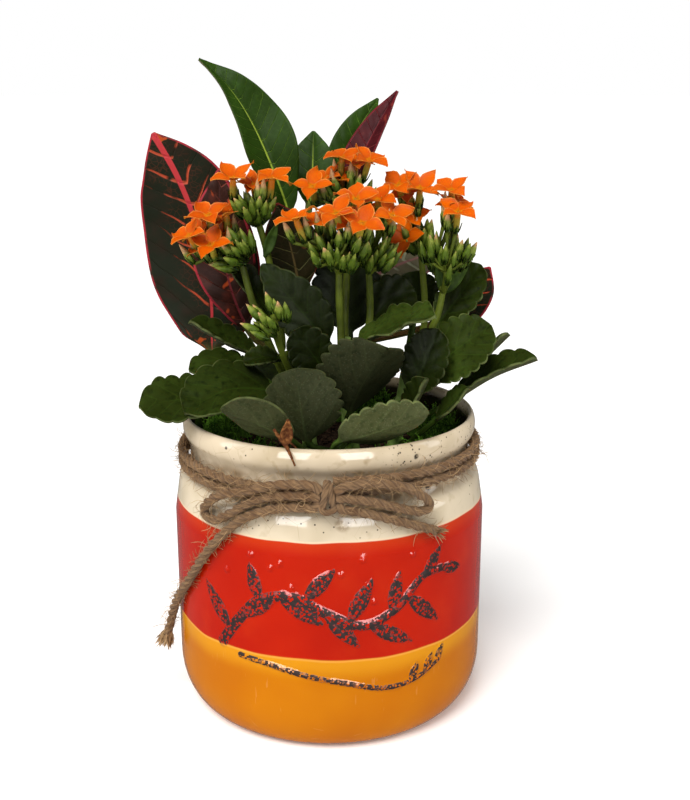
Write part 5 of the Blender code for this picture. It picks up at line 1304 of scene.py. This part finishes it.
def build_croton_leaves(stems):
    finishes = {name: croton_leaf("croton_leaf_" + name, *colours)
                for name, colours in CROTON_COLOURS.items()}
    for seed, (name, row) in enumerate(CROTON_LEAVES.items()):
        height, stalk, blade, face, half_width, outline, kind, more = row
        route = stems["croton"].seat(height, (stalk + blade)[0]) + stalk + blade
        mesh = leaf_mesh(name, route, 2 + len(stalk), face, half_width, outline,
                         **{"seed": 5 + seed * 2.9, "stalk_radius": 1.2, "thickness": 1.1,
                            "edge": 0.7, "vein_gap": 6.0, "vein_slope": 0.7, "veining": 0.1,
                            **more})
        mesh.materials.append(finishes[kind])
        slot = "croton_leaf_green" if kind in ("green", "pale") else "croton_leaf_dark"
        finish_piece("leaf_croton_" + name, mesh, slot, "croton_leaf_" + name)


# Flowers

def petal_template(seed):
    """Four pointed petals round the throat, each with its own lift, droop and roll, +Z up."""
    draw = random.Random(seed)
    shares = (0, 0.12, 0.28, 0.46, 0.64, 0.8, 0.92, 1.0)
    skin = 5 * len(shares)
    points, places, faces = [], [], []
    for i in range(4):
        a = math.pi / 2 * i + draw.uniform(-0.14, 0.14)
        lift, droop, roll = draw.uniform(2.6, 5.2), draw.uniform(0.4, 3.6), draw.uniform(-1.1, 1.1)
        length = PETAL_LENGTH * draw.uniform(0.9, 1.04) - THROAT
        for under in (0, 1):
            for t in shares:
                width = 3.45 * math.sin(math.pi * (t * 0.72 + 0.13)) * (1 - t ** 2.5) + 0.05
                for v in (-1, -0.55, 0, 0.55, 1):
                    height = (0.2 + 0.1 * i + lift * t - droop * t * t
                              + 0.8 * v * v * math.sin(math.pi * t) + roll * v * t
                              + 0.3 * v * math.sin(8 * t + i) * t
                              - 0.25 * (1 - abs(v)) * (1 - t) - 0.22 * under)
                    points.append(spun(THROAT + t * length, v * width, height, a))
                    places.append((t, max(abs(v), t ** 6), under))
        start = 2 * skin * i
        for face in grid_faces(len(shares), 5, False):
            faces.append(tuple(start + k for k in reversed(face)))
            faces.append(tuple(start + skin + k for k in face))
        rim = [*range(0, skin - 4, 5), *range(skin - 4, skin), *range(skin - 6, 3, -5), 3, 2, 1]
        for a0, b0 in zip(rim, rim[1:] + rim[:1]):
            faces.append((start + a0, start + b0, start + skin + b0, start + skin + a0))
    out, rim, under = zip(*places)
    return make_mesh("petals", points, faces, {"out": out, "rim": rim, "under": under})


def lathed_template(name, rows, sides, squareness=0.0, twist=0.0):
    """A slim closed form up +Z from (height, radius) rows, with its share of the way up."""
    points, places = [], []
    for height, radius in rows:
        for k in range(sides):
            a = 2 * math.pi * k / sides
            r = radius * (1 + squareness * math.cos(4 * a))
            points.append(spun(r, 0, height, a + twist * height / rows[-1][0]))
            places.append(height / rows[-1][0])
    return make_mesh(name, points, round_faces(len(rows), sides), {"out": places})


def sepal_template():
    """Four narrow pointed sepals that hug the foot of a bud or tube, +Z up."""
    points, places, faces = [], [], []
    for i in range(4):
        for t, width, reach in ((0, 0.75, 0.75), (0.35, 0.62, 1.35), (0.7, 0.36, 1.6),
                                (1, 0.04, 1.75)):
            for v, extra in ((-1, 0), (0, 0.28), (1, 0)):
                points.append(spun(reach + extra, v * width, 4.4 * t,
                                   math.pi / 2 * i + math.pi / 4))
                places.append(t)
        sheet = [tuple(12 * i + k for k in face) for face in grid_faces(4, 3, False)]
        faces += sheet + [face[::-1] for face in sheet]
    return make_mesh("sepals", points, faces, {"out": places})


class Head:
    """A flower head: its stalk's top, the way it faces and how far it reaches and spreads."""

    def __init__(self, top, florets, reach, seed, more):
        self.top, self.reach, self.seed = top, reach, seed
        toward = sum((Vector(place) - top for place, _ in florets), Vector())
        self.axis = Vector(more.get("aim", toward)).normalized()
        self.side = self.axis.orthogonal().normalized()
        self.other = self.axis.cross(self.side)
        self.spread = math.radians(more["spread"])

    def way(self, turn, lean):
        """A direction that leans out from the axis, as a share of the spread."""
        return swung(self.axis, swung(self.side, self.other, turn), self.spread * lean)


def bract_mesh(base, tip, face, half_width):
    """A small pointed leaf on a flower stalk."""
    base, tip = Vector(base), Vector(tip)
    middle = base.lerp(tip, 0.5) - Vector(face) * 0.8
    outline = [(0, 0.35), (0.2, 0.85), (0.4, 1.0), (0.7, 0.75), (1, 0.05)]
    return leaf_mesh("bract", [base - (tip - base) * 0.03, base, middle, tip], 1, [face],
                     half_width, outline, fold=(20, 20), stalk_radius=0.5, thickness=0.9, edge=0.5,
                     columns=7, rows=14, vein_gap=40, veining=0.0)


def bud_template():
    return lathed_template("bud", [(0.0, 0.45), (0.7, 1.0), (1.8, 1.5), (3.2, 1.62), (4.6, 1.36),
                                   (6.0, 0.92), (7.3, 0.42), (BUD_LENGTH, 0.06)], 8, 0.06, 0.7)


def tube_template():
    return lathed_template("throat", [(0.0, 0.7), (1.0, 1.15), (4.0, 1.3), (7.4, 1.25),
                                      (8.6, 1.1), (9.15, 0.9)], 8, 0.04)


def bud_ends(head, count, length):
    """Base, tip and girth of the main buds, spread over a dome above the stalk's top."""
    draw = random.Random(head.seed)
    ends = []
    for i in range(count):
        way = head.way(i * BUD_TURN + head.seed, math.sqrt((i + 0.6) / count))
        tip = head.top + way * head.reach * (1 - 0.16 * draw.random())
        ends.append((tip - (way + head.axis * 0.35).normalized() * length, tip, 1.0))
    return ends


def filler_buds(head, count):
    """Slimmer buds packed between and under the main ones, where the head is densest."""
    draw = random.Random(head.seed + 90)
    ends = []
    for i in range(count):
        way = head.way(i * BUD_TURN + head.seed * 1.7, 0.25 + 0.85 * (i / count) ** 0.5)
        tip = head.top + way * head.reach * draw.uniform(0.5, 0.97)
        base = tip - (way + head.axis * 0.8).normalized() * draw.uniform(7.5, 9.5)
        ends.append((base, tip, draw.uniform(0.82, 0.98)))
    return ends


def offshoot(forks, foot, way, back, radii):
    """A thin stalk from the nearest fork to a bud or floret, bowed back from its way."""
    fork = min(forks, key=lambda f: (f - foot).length)
    return tube(smooth_path([fork, (fork + foot) / 2 - way * back, foot], len(radii)), radii, 6)


def grow_spray(stems, stem, seat, stalk, florets, buds, reach, seed, more):
    """A flower head's stalks, and the spots of its buds, sepals, petals and tubes."""
    route = stems[stem].seat(seat, stalk[0]) + stalk
    path = [route[0]] + smooth_path(route[1:], 5)
    head = Head(path[-1], florets, reach, seed, more)
    smooth = [route[0]] + smooth_path(route[1:], 24)
    sticks = [tube(smooth, [1.5 * (1 - 0.2 * i / 24) for i in range(25)], 10)]
    below = head.top - tangents(path)[-1] * 1.2
    forks = []
    for i in range(3):
        out = swung(head.side, head.other, 2 * math.pi * i / 3 + seed)
        forks.append(head.top + head.axis * reach * 0.36 + out * reach * 0.2)
        fork_path = smooth_path([below, (below + forks[-1]) / 2 + out * 0.4, forks[-1]], 6)
        sticks.append(tube(fork_path, [1.1, 1.0, 0.95, 0.95, 1.0, 1.2], 8))

    ends = bud_ends(head, buds, more.get("bud_length", BUD_LENGTH))
    ends += filler_buds(head, more.get("fillers", settings("flowers").filler_buds))
    spots = {"bud": [], "sepal": [], "petal": [], "tube": []}
    draw = random.Random(seed + 40)
    for base, tip, girth in ends:
        way, span = (tip - base).normalized(), (tip - base).length
        sticks.append(offshoot(forks, base, way, 0.6, [0.55, 0.5, 0.5, 0.55, 0.7]))
        spin, tint = draw.random() * 3, draw.random() * 0.5 + (0.7 if girth == 1.0 else 0.0)
        spots["bud"].append((base, way, spin, (girth, girth, span / BUD_LENGTH), tint))
        spots["sepal"].append((base, way, spin, (girth, girth, 1.0), tint))

    # Between each two florets come a smaller one, set back, and two buds about to open
    blooms = [(Vector(throat), Vector(way), 1.0) for throat, way in florets]
    for (a, first, _), (b, second, _) in list(zip(blooms, blooms[1:] + blooms[:1])):
        blooms.append((a.lerp(b, 0.5) + Vector((0, 4.5, -2.5)), first + second,
                       draw.uniform(0.72, 0.88)))
        for step in (0.15, 0.6):
            foot = a.lerp(b, step) + Vector((draw.uniform(-4, 4), draw.uniform(-1, 5), -8.5))
            way = (foot - head.top + Vector((0, 0, 25))).normalized()
            sticks.append(offshoot(forks, foot, way, 0, [0.55, 0.5, 0.5, 0.7]))
            spin = draw.random() * 3
            spots["bud"].append((foot, way, spin, (0.85, 0.85, draw.uniform(1.0, 1.25)), 2.0))
            spots["sepal"].append((foot, way, spin, (0.85, 0.85, 1.0), 1.0))
    for turn, (throat, way, size) in enumerate(blooms):
        way = (way.normalized() + Vector((draw.uniform(-0.3, 0.3), draw.uniform(-0.4, 0.2),
                                          draw.uniform(0.3, 0.9)))).normalized()
        foot = throat - way * FLORET_TUBE
        sticks.append(offshoot(forks, foot, way, 0.5, [0.7, 0.6, 0.6, 0.65, 0.9]))
        spin = 0.5 + 0.37 * turn
        spots["petal"].append((throat, way, spin, (size, size, size), draw.random()))
        spots["tube"].append((foot, way, spin, (1, 1, 1), draw.random()))
        spots["sepal"].append((foot, way, spin, (1.05, 1.05, 1), draw.random()))
    return sticks, spots


def build_sprays(trees, stems):
    """Each flower head: stalks, buds in their sepals, and open florets on their tubes."""
    stalk_finish = tinted("kalanchoe_stalk", "323A0C", "58641E", 0.5, 8, 0.03)
    bract_finish = tinted("kalanchoe_bract", "26380F", "4C6426", 0.45, 4, 0.05)
    petal_finish = petal()
    bud_finish = graded("kalanchoe_bud", [(0, "2C3C0A"), (0.4, "4E6218"), (0.85, "7A8634"),
                                          (1.13, "C09468")], 0.5)
    tube_finish = graded("kalanchoe_tube", [(0, "566A20"), (0.45, "96822A"), (0.9, "BC6E16")], 0.5)
    sepal_finish = graded("kalanchoe_sepal", [(0, "30440E"), (0.7, "5E7428")], 0.5)
    for name, row in SPRAYS.items():
        sticks, spots = grow_spray(stems, *row)
        points, faces = joined(sticks)
        stalks = make_mesh("sticks", points, faces, {"tint": np.full(len(points), 0.5)})
        stalks.materials.append(stalk_finish)
        meshes = [stalks,
                  scattered(trees["scatter"], bud_template(), bud_finish, spots["bud"]),
                  scattered(trees["scatter"], sepal_template(), sepal_finish, spots["sepal"])]
        seed, more = row[-2:]
        if spots["petal"]:
            for kind in range(3):
                meshes.append(scattered(trees["scatter"], petal_template(kind + seed), petal_finish,
                                        spots["petal"][kind::3]))
            meshes.append(scattered(trees["scatter"], tube_template(), tube_finish, spots["tube"]))
        for bract in more.get("bracts", []):
            mesh = bract_mesh(*bract)
            mesh.materials.append(bract_finish)
            meshes.append(mesh)
        finish_piece("spray_" + name, fused("spray_" + name, meshes), "kalanchoe_flowers",
                     "flower_spray_" + name)


# Stems, soil, moss and twig

def build_stems(stems):
    """Stems with the swollen nodes that old leaves leave, and a slightly lumpy skin."""
    green = tinted("kalanchoe_stem", "4E6A26", "8CA45A", 0.5, 6, 0.08)
    bark = tinted("croton_bark", "4A3A28", "8C7452", 0.75, 2.5, 0.3)
    for name, (_, low, high, _) in STEMS.items():
        path = smooth_path(stems[name].path, 60)
        radii = []
        for i, point in enumerate(path):
            node = 0.16 * math.exp(-(((point.z - 88) % 9 - 4.5) / 1.1) ** 2)
            radii.append((low + (high - low) * (i / (len(path) - 1))) * (0.97 + 0.35 * node))
        points, faces = tube(path, radii, 20)
        points = [p + (p - path[i // 20]).normalized() * 0.18 * noise.noise(p * 0.7)
                  for i, p in enumerate(points)]
        mesh = make_mesh(name, points, faces, {"tint": np.full(len(points), 0.4)})
        mesh.materials.append(bark if name == "croton" else green)
        slot, node = ("croton_bark", "croton_stem") if name == "croton" else (
            "kalanchoe_stem", "kalanchoe_stem_" + name)
        finish_piece("stem_" + name, mesh, slot, node)


def build_soil(trees):
    """Potting soil: a lumpy top with loose crumbs of peat and bark."""
    finish = tinted("potting_soil", "1E140E", "4A382A", 0.95, 2.0, 0.5)
    rings = list(np.linspace(1.5, SOIL_RADIUS, 34))
    profile = [(0, 5.4), (42.9, 5.4), (54.9, 24), (54.9, 79), (SOIL_RADIUS, 96.8),
               (SOIL_RADIUS, 98)]
    profile += [(r, SOIL_TOP) for r in rings[::-1]] + [(0, SOIL_TOP)]
    points, faces = turned(profile, list(np.linspace(0, 2 * math.pi, 120, endpoint=False)))
    points = [Vector(p) for p in points]
    for p in points:
        if p.z > 97.9:
            p.z += 0.9 * noise.noise(p * 0.22) + 0.5 * noise.noise(p * 0.8) - 0.4
    top = make_mesh("soil", points, faces, {"tint": np.full(len(points), 0.2)})
    top.materials.append(finish)
    draw = random.Random(21)
    spots = []
    for _ in range(900):
        r, a = 50 * math.sqrt(draw.random()), draw.random() * 2 * math.pi
        size = draw.uniform(0.4, 1.3)
        spots.append(((r * math.cos(a), r * math.sin(a), SOIL_TOP + 0.1),
                      (draw.random() - 0.5, draw.random() - 0.5, 1), draw.random() * 6,
                      (size, size * draw.uniform(0.6, 1), size * 0.7), draw.random()))
    crumb = lathed_template("crumb", [(0, 0.5), (0.4, 1.0), (1.1, 0.8), (1.5, 0.3)], 6, 0.1, 0.6)
    crumbs = scattered(trees["scatter"], crumb, finish, spots)
    finish_piece("soil", fused("soil", [top, crumbs]), "soil", "potting_soil")


def moss_template(bend, seed):
    """One moss shoot a unit long: a thin curved stem with two rows of tiny leaves."""
    draw = random.Random(seed)
    path = [Vector((bend * t * t, 0.1 * math.sin(5 * t), t)) for t in [i / 5 for i in range(6)]]
    points, faces = tube(path, [0.035, 0.035, 0.03, 0.03, 0.025, 0.01], 3)
    for i in range(14):
        t = (i + 0.6) / 14
        centre = path[0].lerp(path[5], t) + Vector((bend * (t * t - t), 0, 0))
        a = i * 2.4 + draw.random()
        out = Vector((math.cos(a), math.sin(a), 0.75)).normalized() * (0.22 - 0.09 * t)
        side = out.cross(Vector((0, 0, 1))).normalized() * 0.05
        start = len(points)
        points += [centre, centre + out * 0.5 + side, centre + out, centre + out * 0.5 - side]
        faces += [(start, start + 1, start + 2, start + 3)]
    return make_mesh("moss_shoot", points, faces)


def moss_crest(a):
    off = (a - math.radians(150) + math.pi) % (2 * math.pi) - math.pi
    return (SOIL_TOP + 4.2 + 1.4 * math.sin(7 * a) + 0.9 * math.sin(17 * a + 1)
            + 6.0 * math.exp(-(off / 0.3) ** 2))


def build_moss(trees):
    """Sheet moss: a low uneven ring along the wall, grown over with curly shoots."""
    under = tinted("moss_mat", "22340F", "4A6A1E", 0.95, 3.0, 0.8)
    shoots = tinted("moss_shoot", "24460F", "648F2E", 0.75, 5.0, 0.02)
    points, rings, sides = [], 140, 7
    for k in range(rings):
        a = 2 * math.pi * k / rings
        inner, crest = 37 + 1.5 * math.sin(11 * a), moss_crest(a)
        ring = [(inner, 99.3), (50.8, 99.3), (50.9, crest - 2.2), (49.6, crest - 1.0),
                (46, crest - 0.5), (42, crest - 1.0), (inner + 2, 100.9)]
        for r, z in ring:
            p = Vector((r * math.cos(a), r * math.sin(a), z))
            points.append(p + Vector((0, 0, 0.5 * noise.noise(p * 0.6) if z > 100 else 0)))
    faces = [tuple(reversed(face)) for face in grid_faces(rings, sides, True)]
    last = (rings - 1) * sides
    faces += [(last + k, k, (k + 1) % sides, last + (k + 1) % sides)[::-1] for k in range(sides)]
    mat = make_mesh("moss", points, faces, {"tint": np.full(len(points), 0.3)})
    mat.materials.append(under)
    draw = random.Random(31)
    meshes = [mat]
    for bend in (0.45, 0.8, -0.3):
        spots = []
        for count, first, last, near, far, rise, lean_most in MOSS_SHOOTS:
            for _ in range(count):
                a = math.radians(draw.uniform(first, last))
                r = draw.uniform(near, far)
                on_ring = moss_crest(a) - 1.6 - 2.2 * max(0, (43 - r) / 5)
                base = max(on_ring, SOIL_TOP) + rise * draw.random() if r > 38 else SOIL_TOP
                lean = draw.uniform(0.1, lean_most)
                b = draw.random() * 2 * math.pi
                size = draw.uniform(3.4, 7.2)
                aim = Vector((lean * math.cos(b), lean * math.sin(b), 1)).normalized()
                tip = Vector((r * math.cos(a), r * math.sin(a), base)) + aim * size
                if math.hypot(tip.x, tip.y) + abs(bend) * size > WALL_INSIDE:
                    aim = Vector((-math.cos(a) * 0.4, -math.sin(a) * 0.4, 1)).normalized()
                    size = min(size, (WALL_INSIDE - r) / max(abs(bend) - 0.37, 0.1))
                spots.append(((r * math.cos(a), r * math.sin(a), base), aim, draw.random() * 6.3,
                              (size, size, size), draw.random()))
        meshes.append(scattered(trees["scatter"], moss_template(bend, 3), shoots, spots))
    finish_piece("moss_ring", fused("moss_ring", meshes), "moss", "moss")


def build_twig():
    """A brittle dry twig with a side shoot and one papery leaf."""
    finish = tinted("dried_twig", "4E2A16", "A8703E", 0.8, 1.5, 0.15)
    main = smooth_path(TWIG, 26)
    radii = [0.35 + 0.4 * math.sin(math.pi * min(i / 25 + 0.12, 1)) * (1 + 0.2 * math.sin(i * 1.9))
             for i in range(26)]
    shoot = smooth_path(TWIG_SHOOT, 16)
    sticks = make_mesh("twig", *joined([tube(main, radii, 8),
                                        tube(shoot, [0.5 - 0.02 * i for i in range(16)], 7)]))
    leaf = bract_mesh(*TWIG_LEAF, (0.2, -1, 0.2), 2.2)
    for mesh in (sticks, leaf):
        mesh.materials.append(finish)
    finish_piece("twig", fused("twig", [sticks, leaf]), "dried_twig", "dried_twig")


# Stage

def build_stage():
    """The camera at the photograph's angle, a pale floor and soft studio light."""
    chosen = settings("stage")
    camera = bpy.data.cameras.new("camera")
    camera.sensor_width = 36
    camera.lens = CAMERA_LENS
    camera.clip_start = 0.01
    view = make_object("camera", camera)
    view.location = CAMERA_PLACE
    view.rotation_euler = (math.pi / 2 - CAMERA_TILT, 0, 0)
    bpy.context.scene.camera = view
    bpy.context.scene.view_settings.view_transform = "Standard"
    edge = [spun(FLOOR_RADIUS, 0, 0, 2 * math.pi * k / 64) for k in range(64)]
    floor = make_object("floor", make_mesh("floor", edge, [tuple(range(64))]))
    floor.data.materials.append(studio_floor())
    floor.visible_glossy = False
    world = bpy.data.worlds.new("studio")
    world.use_nodes = True
    tree = world.node_tree
    tree.nodes.clear()
    eye = add(tree, "ShaderNodeLightPath")
    strength = add(tree, "ShaderNodeMix", {0: eye.outputs["Is Glossy Ray"], 2: chosen.surround,
                                           3: chosen.reflected})
    strength = add(tree, "ShaderNodeMix", {0: eye.outputs["Is Camera Ray"], 2: strength,
                                           3: chosen.backdrop})
    sky = add(tree, "ShaderNodeBackground", {"Color": linear("FFFFFF"), "Strength": strength})
    add(tree, "ShaderNodeOutputWorld", {"Surface": sky})
    bpy.context.scene.world = world
    for name, kind, place, size, power, matt, gloss in LAMPS:
        lamp = bpy.data.lights.new(name, kind)
        lamp.energy = power * chosen.lamp_strength
        if kind == "SUN":
            lamp.angle = math.radians(size[0])
        else:
            lamp.shape = "RECTANGLE"
            lamp.size, lamp.size_y = size
        thing = make_object(name, lamp)
        thing.visible_diffuse = matt
        thing.visible_glossy = gloss
        thing.location = place
        aim = Vector((0, 0, AIM_HEIGHT)) - Vector(place)
        thing.rotation_euler = aim.to_track_quat("-Z", "Y").to_euler()


# Settings, operators and panel

class PotSettings(bpy.types.PropertyGroup):
    cream: colour_setting("Cream glaze", "Glaze of the neck and rim", "CCBBA0")
    red: colour_setting("Red glaze", "Glaze of the wide middle band", "AE1A00")
    yellow: colour_setting("Yellow glaze", "Glaze of the foot", "BC6E00")
    upper_line: length_setting("Upper line", "Height where cream meets red", 83.9)
    lower_line: length_setting("Lower line", "Height where red meets yellow", 38.6)
    relief: length_setting("Relief", "Height of the raised sprig", 0.7)
    gloss: share_setting("Roughness", "Roughness of the glaze", 0.09, max=1)


class TwineSettings(bpy.types.PropertyGroup):
    colour: colour_setting("Jute", "Main colour of the twine", "7C6043")
    lay: length_setting("Lay length", "Length of one full turn of a ply", 13.0)


class LeafSettings(bpy.types.PropertyGroup):
    kalanchoe_top: colour_setting("Leaf top", "Upper side of the kalanchoe leaves", "252F0B")
    kalanchoe_under: colour_setting("Leaf underside", "Lower side of the kalanchoe leaves",
                                    "3E4226")


class FlowerSettings(bpy.types.PropertyGroup):
    petal: colour_setting("Petal", "Upper side of the petals", "D05A00")
    petal_under: colour_setting("Petal underside", "Lower side of the petals", "C27A1C")
    filler_buds: bpy.props.IntProperty(name="Small buds", default=24, min=0, max=60,
                                       description="Small buds packed into each flower head")


class StageSettings(bpy.types.PropertyGroup):
    floor: colour_setting("Floor", "Colour of the studio floor", "F7F6F4")
    surround: share_setting("Surround light", "Strength of the light from all round", 0.35)
    reflected: share_setting("Reflected surround", "Strength of the surround seen in gloss", 0.2)
    floor_glow: share_setting("Floor glow", "Light that the paper floor gives by itself", 0.1)
    backdrop: share_setting("Backdrop", "Brightness of the backdrop behind the floor", 1.0)
    lamp_strength: share_setting("Lamp strength", "Share of each lamp's full power", 1.0)


GROUPS = {"pot": PotSettings, "twine": TwineSettings, "leaves": LeafSettings,
          "flowers": FlowerSettings, "stage": StageSettings}


def shared_trees():
    """The node trees that more than one operator uses, made once."""
    found = {name: bpy.data.node_groups.get(name) for name in ("scatter", "twisted_cord")}
    return {"scatter": found["scatter"] or scatter_tree(),
            "twine": found["twisted_cord"] or twine_tree()}


def grown_stems():
    return {name: Stem(*row) for name, row in STEMS.items()}


class PLANTER_OT_stage(bpy.types.Operator):
    """Sets the camera, the floor and the lights"""
    bl_idname = "planter.stage"
    bl_label = "Stage"

    def execute(self, context):
        build_stage()
        return {"FINISHED"}


class PLANTER_OT_twine(bpy.types.Operator):
    """Ties the jute twine round the neck in its bow"""
    bl_idname = "planter.twine"
    bl_label = "Twine"

    def execute(self, context):
        build_twine(shared_trees())
        return {"FINISHED"}


class PLANTER_OT_pot(bpy.types.Operator):
    """Turns and glazes the pot with its raised sprig"""
    bl_idname = "planter.pot"
    bl_label = "Pot"

    def execute(self, context):
        build_pot()
        return {"FINISHED"}


class PLANTER_OT_fill(bpy.types.Operator):
    """Fills the pot with soil and moss and lays the dry twig on the rim"""
    bl_idname = "planter.fill"
    bl_label = "Soil, moss and twig"

    def execute(self, context):
        build_soil(shared_trees())
        build_moss(shared_trees())
        build_twig()
        return {"FINISHED"}


class PLANTER_OT_stems(bpy.types.Operator):
    """Grows the kalanchoe and croton stems"""
    bl_idname = "planter.stems"
    bl_label = "Stems"

    def execute(self, context):
        build_stems(grown_stems())
        return {"FINISHED"}


class PLANTER_OT_leaves(bpy.types.Operator):
    """Grows the kalanchoe and croton leaves"""
    bl_idname = "planter.leaves"
    bl_label = "Leaves"

    def execute(self, context):
        build_croton_leaves(grown_stems())
        build_kalanchoe_leaves(grown_stems())
        return {"FINISHED"}


class PLANTER_OT_flowers(bpy.types.Operator):
    """Grows the kalanchoe's flower heads"""
    bl_idname = "planter.flowers"
    bl_label = "Flower heads"

    def execute(self, context):
        build_sprays(shared_trees(), grown_stems())
        return {"FINISHED"}


OPERATORS = [PLANTER_OT_stage, PLANTER_OT_twine, PLANTER_OT_pot, PLANTER_OT_fill, PLANTER_OT_stems,
             PLANTER_OT_leaves, PLANTER_OT_flowers]


class PLANTER_PT_panel(bpy.types.Panel):
    """Lists the planter's settings and building steps"""
    bl_label = "Planter"
    bl_idname = "PLANTER_PT_panel"
    bl_space_type = "VIEW_3D"
    bl_region_type = "UI"
    bl_category = "Planter"

    def draw(self, context):
        for key, group in GROUPS.items():
            box = self.layout.box()
            box.label(text=key.capitalize())
            for field in group.__annotations__:
                box.prop(settings(key), field)
        for operator in OPERATORS:
            self.layout.operator(operator.bl_idname)


def register():
    for kind in (*GROUPS.values(), *OPERATORS, PLANTER_PT_panel):
        bpy.utils.register_class(kind)
    for key, group in GROUPS.items():
        setattr(bpy.types.Scene, "planter_" + key, bpy.props.PointerProperty(type=group))


def unregister():
    for key in GROUPS:
        delattr(bpy.types.Scene, "planter_" + key)
    for kind in (PLANTER_PT_panel, *OPERATORS, *GROUPS.values()):
        bpy.utils.unregister_class(kind)


def main():
    register()
    bpy.ops.planter.stage()
    bpy.ops.planter.twine()
    bpy.ops.planter.pot()
    bpy.ops.planter.fill()
    bpy.ops.planter.stems()
    bpy.ops.planter.leaves()
    bpy.ops.planter.flowers()
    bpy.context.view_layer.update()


if __name__ == "__main__":
    main()
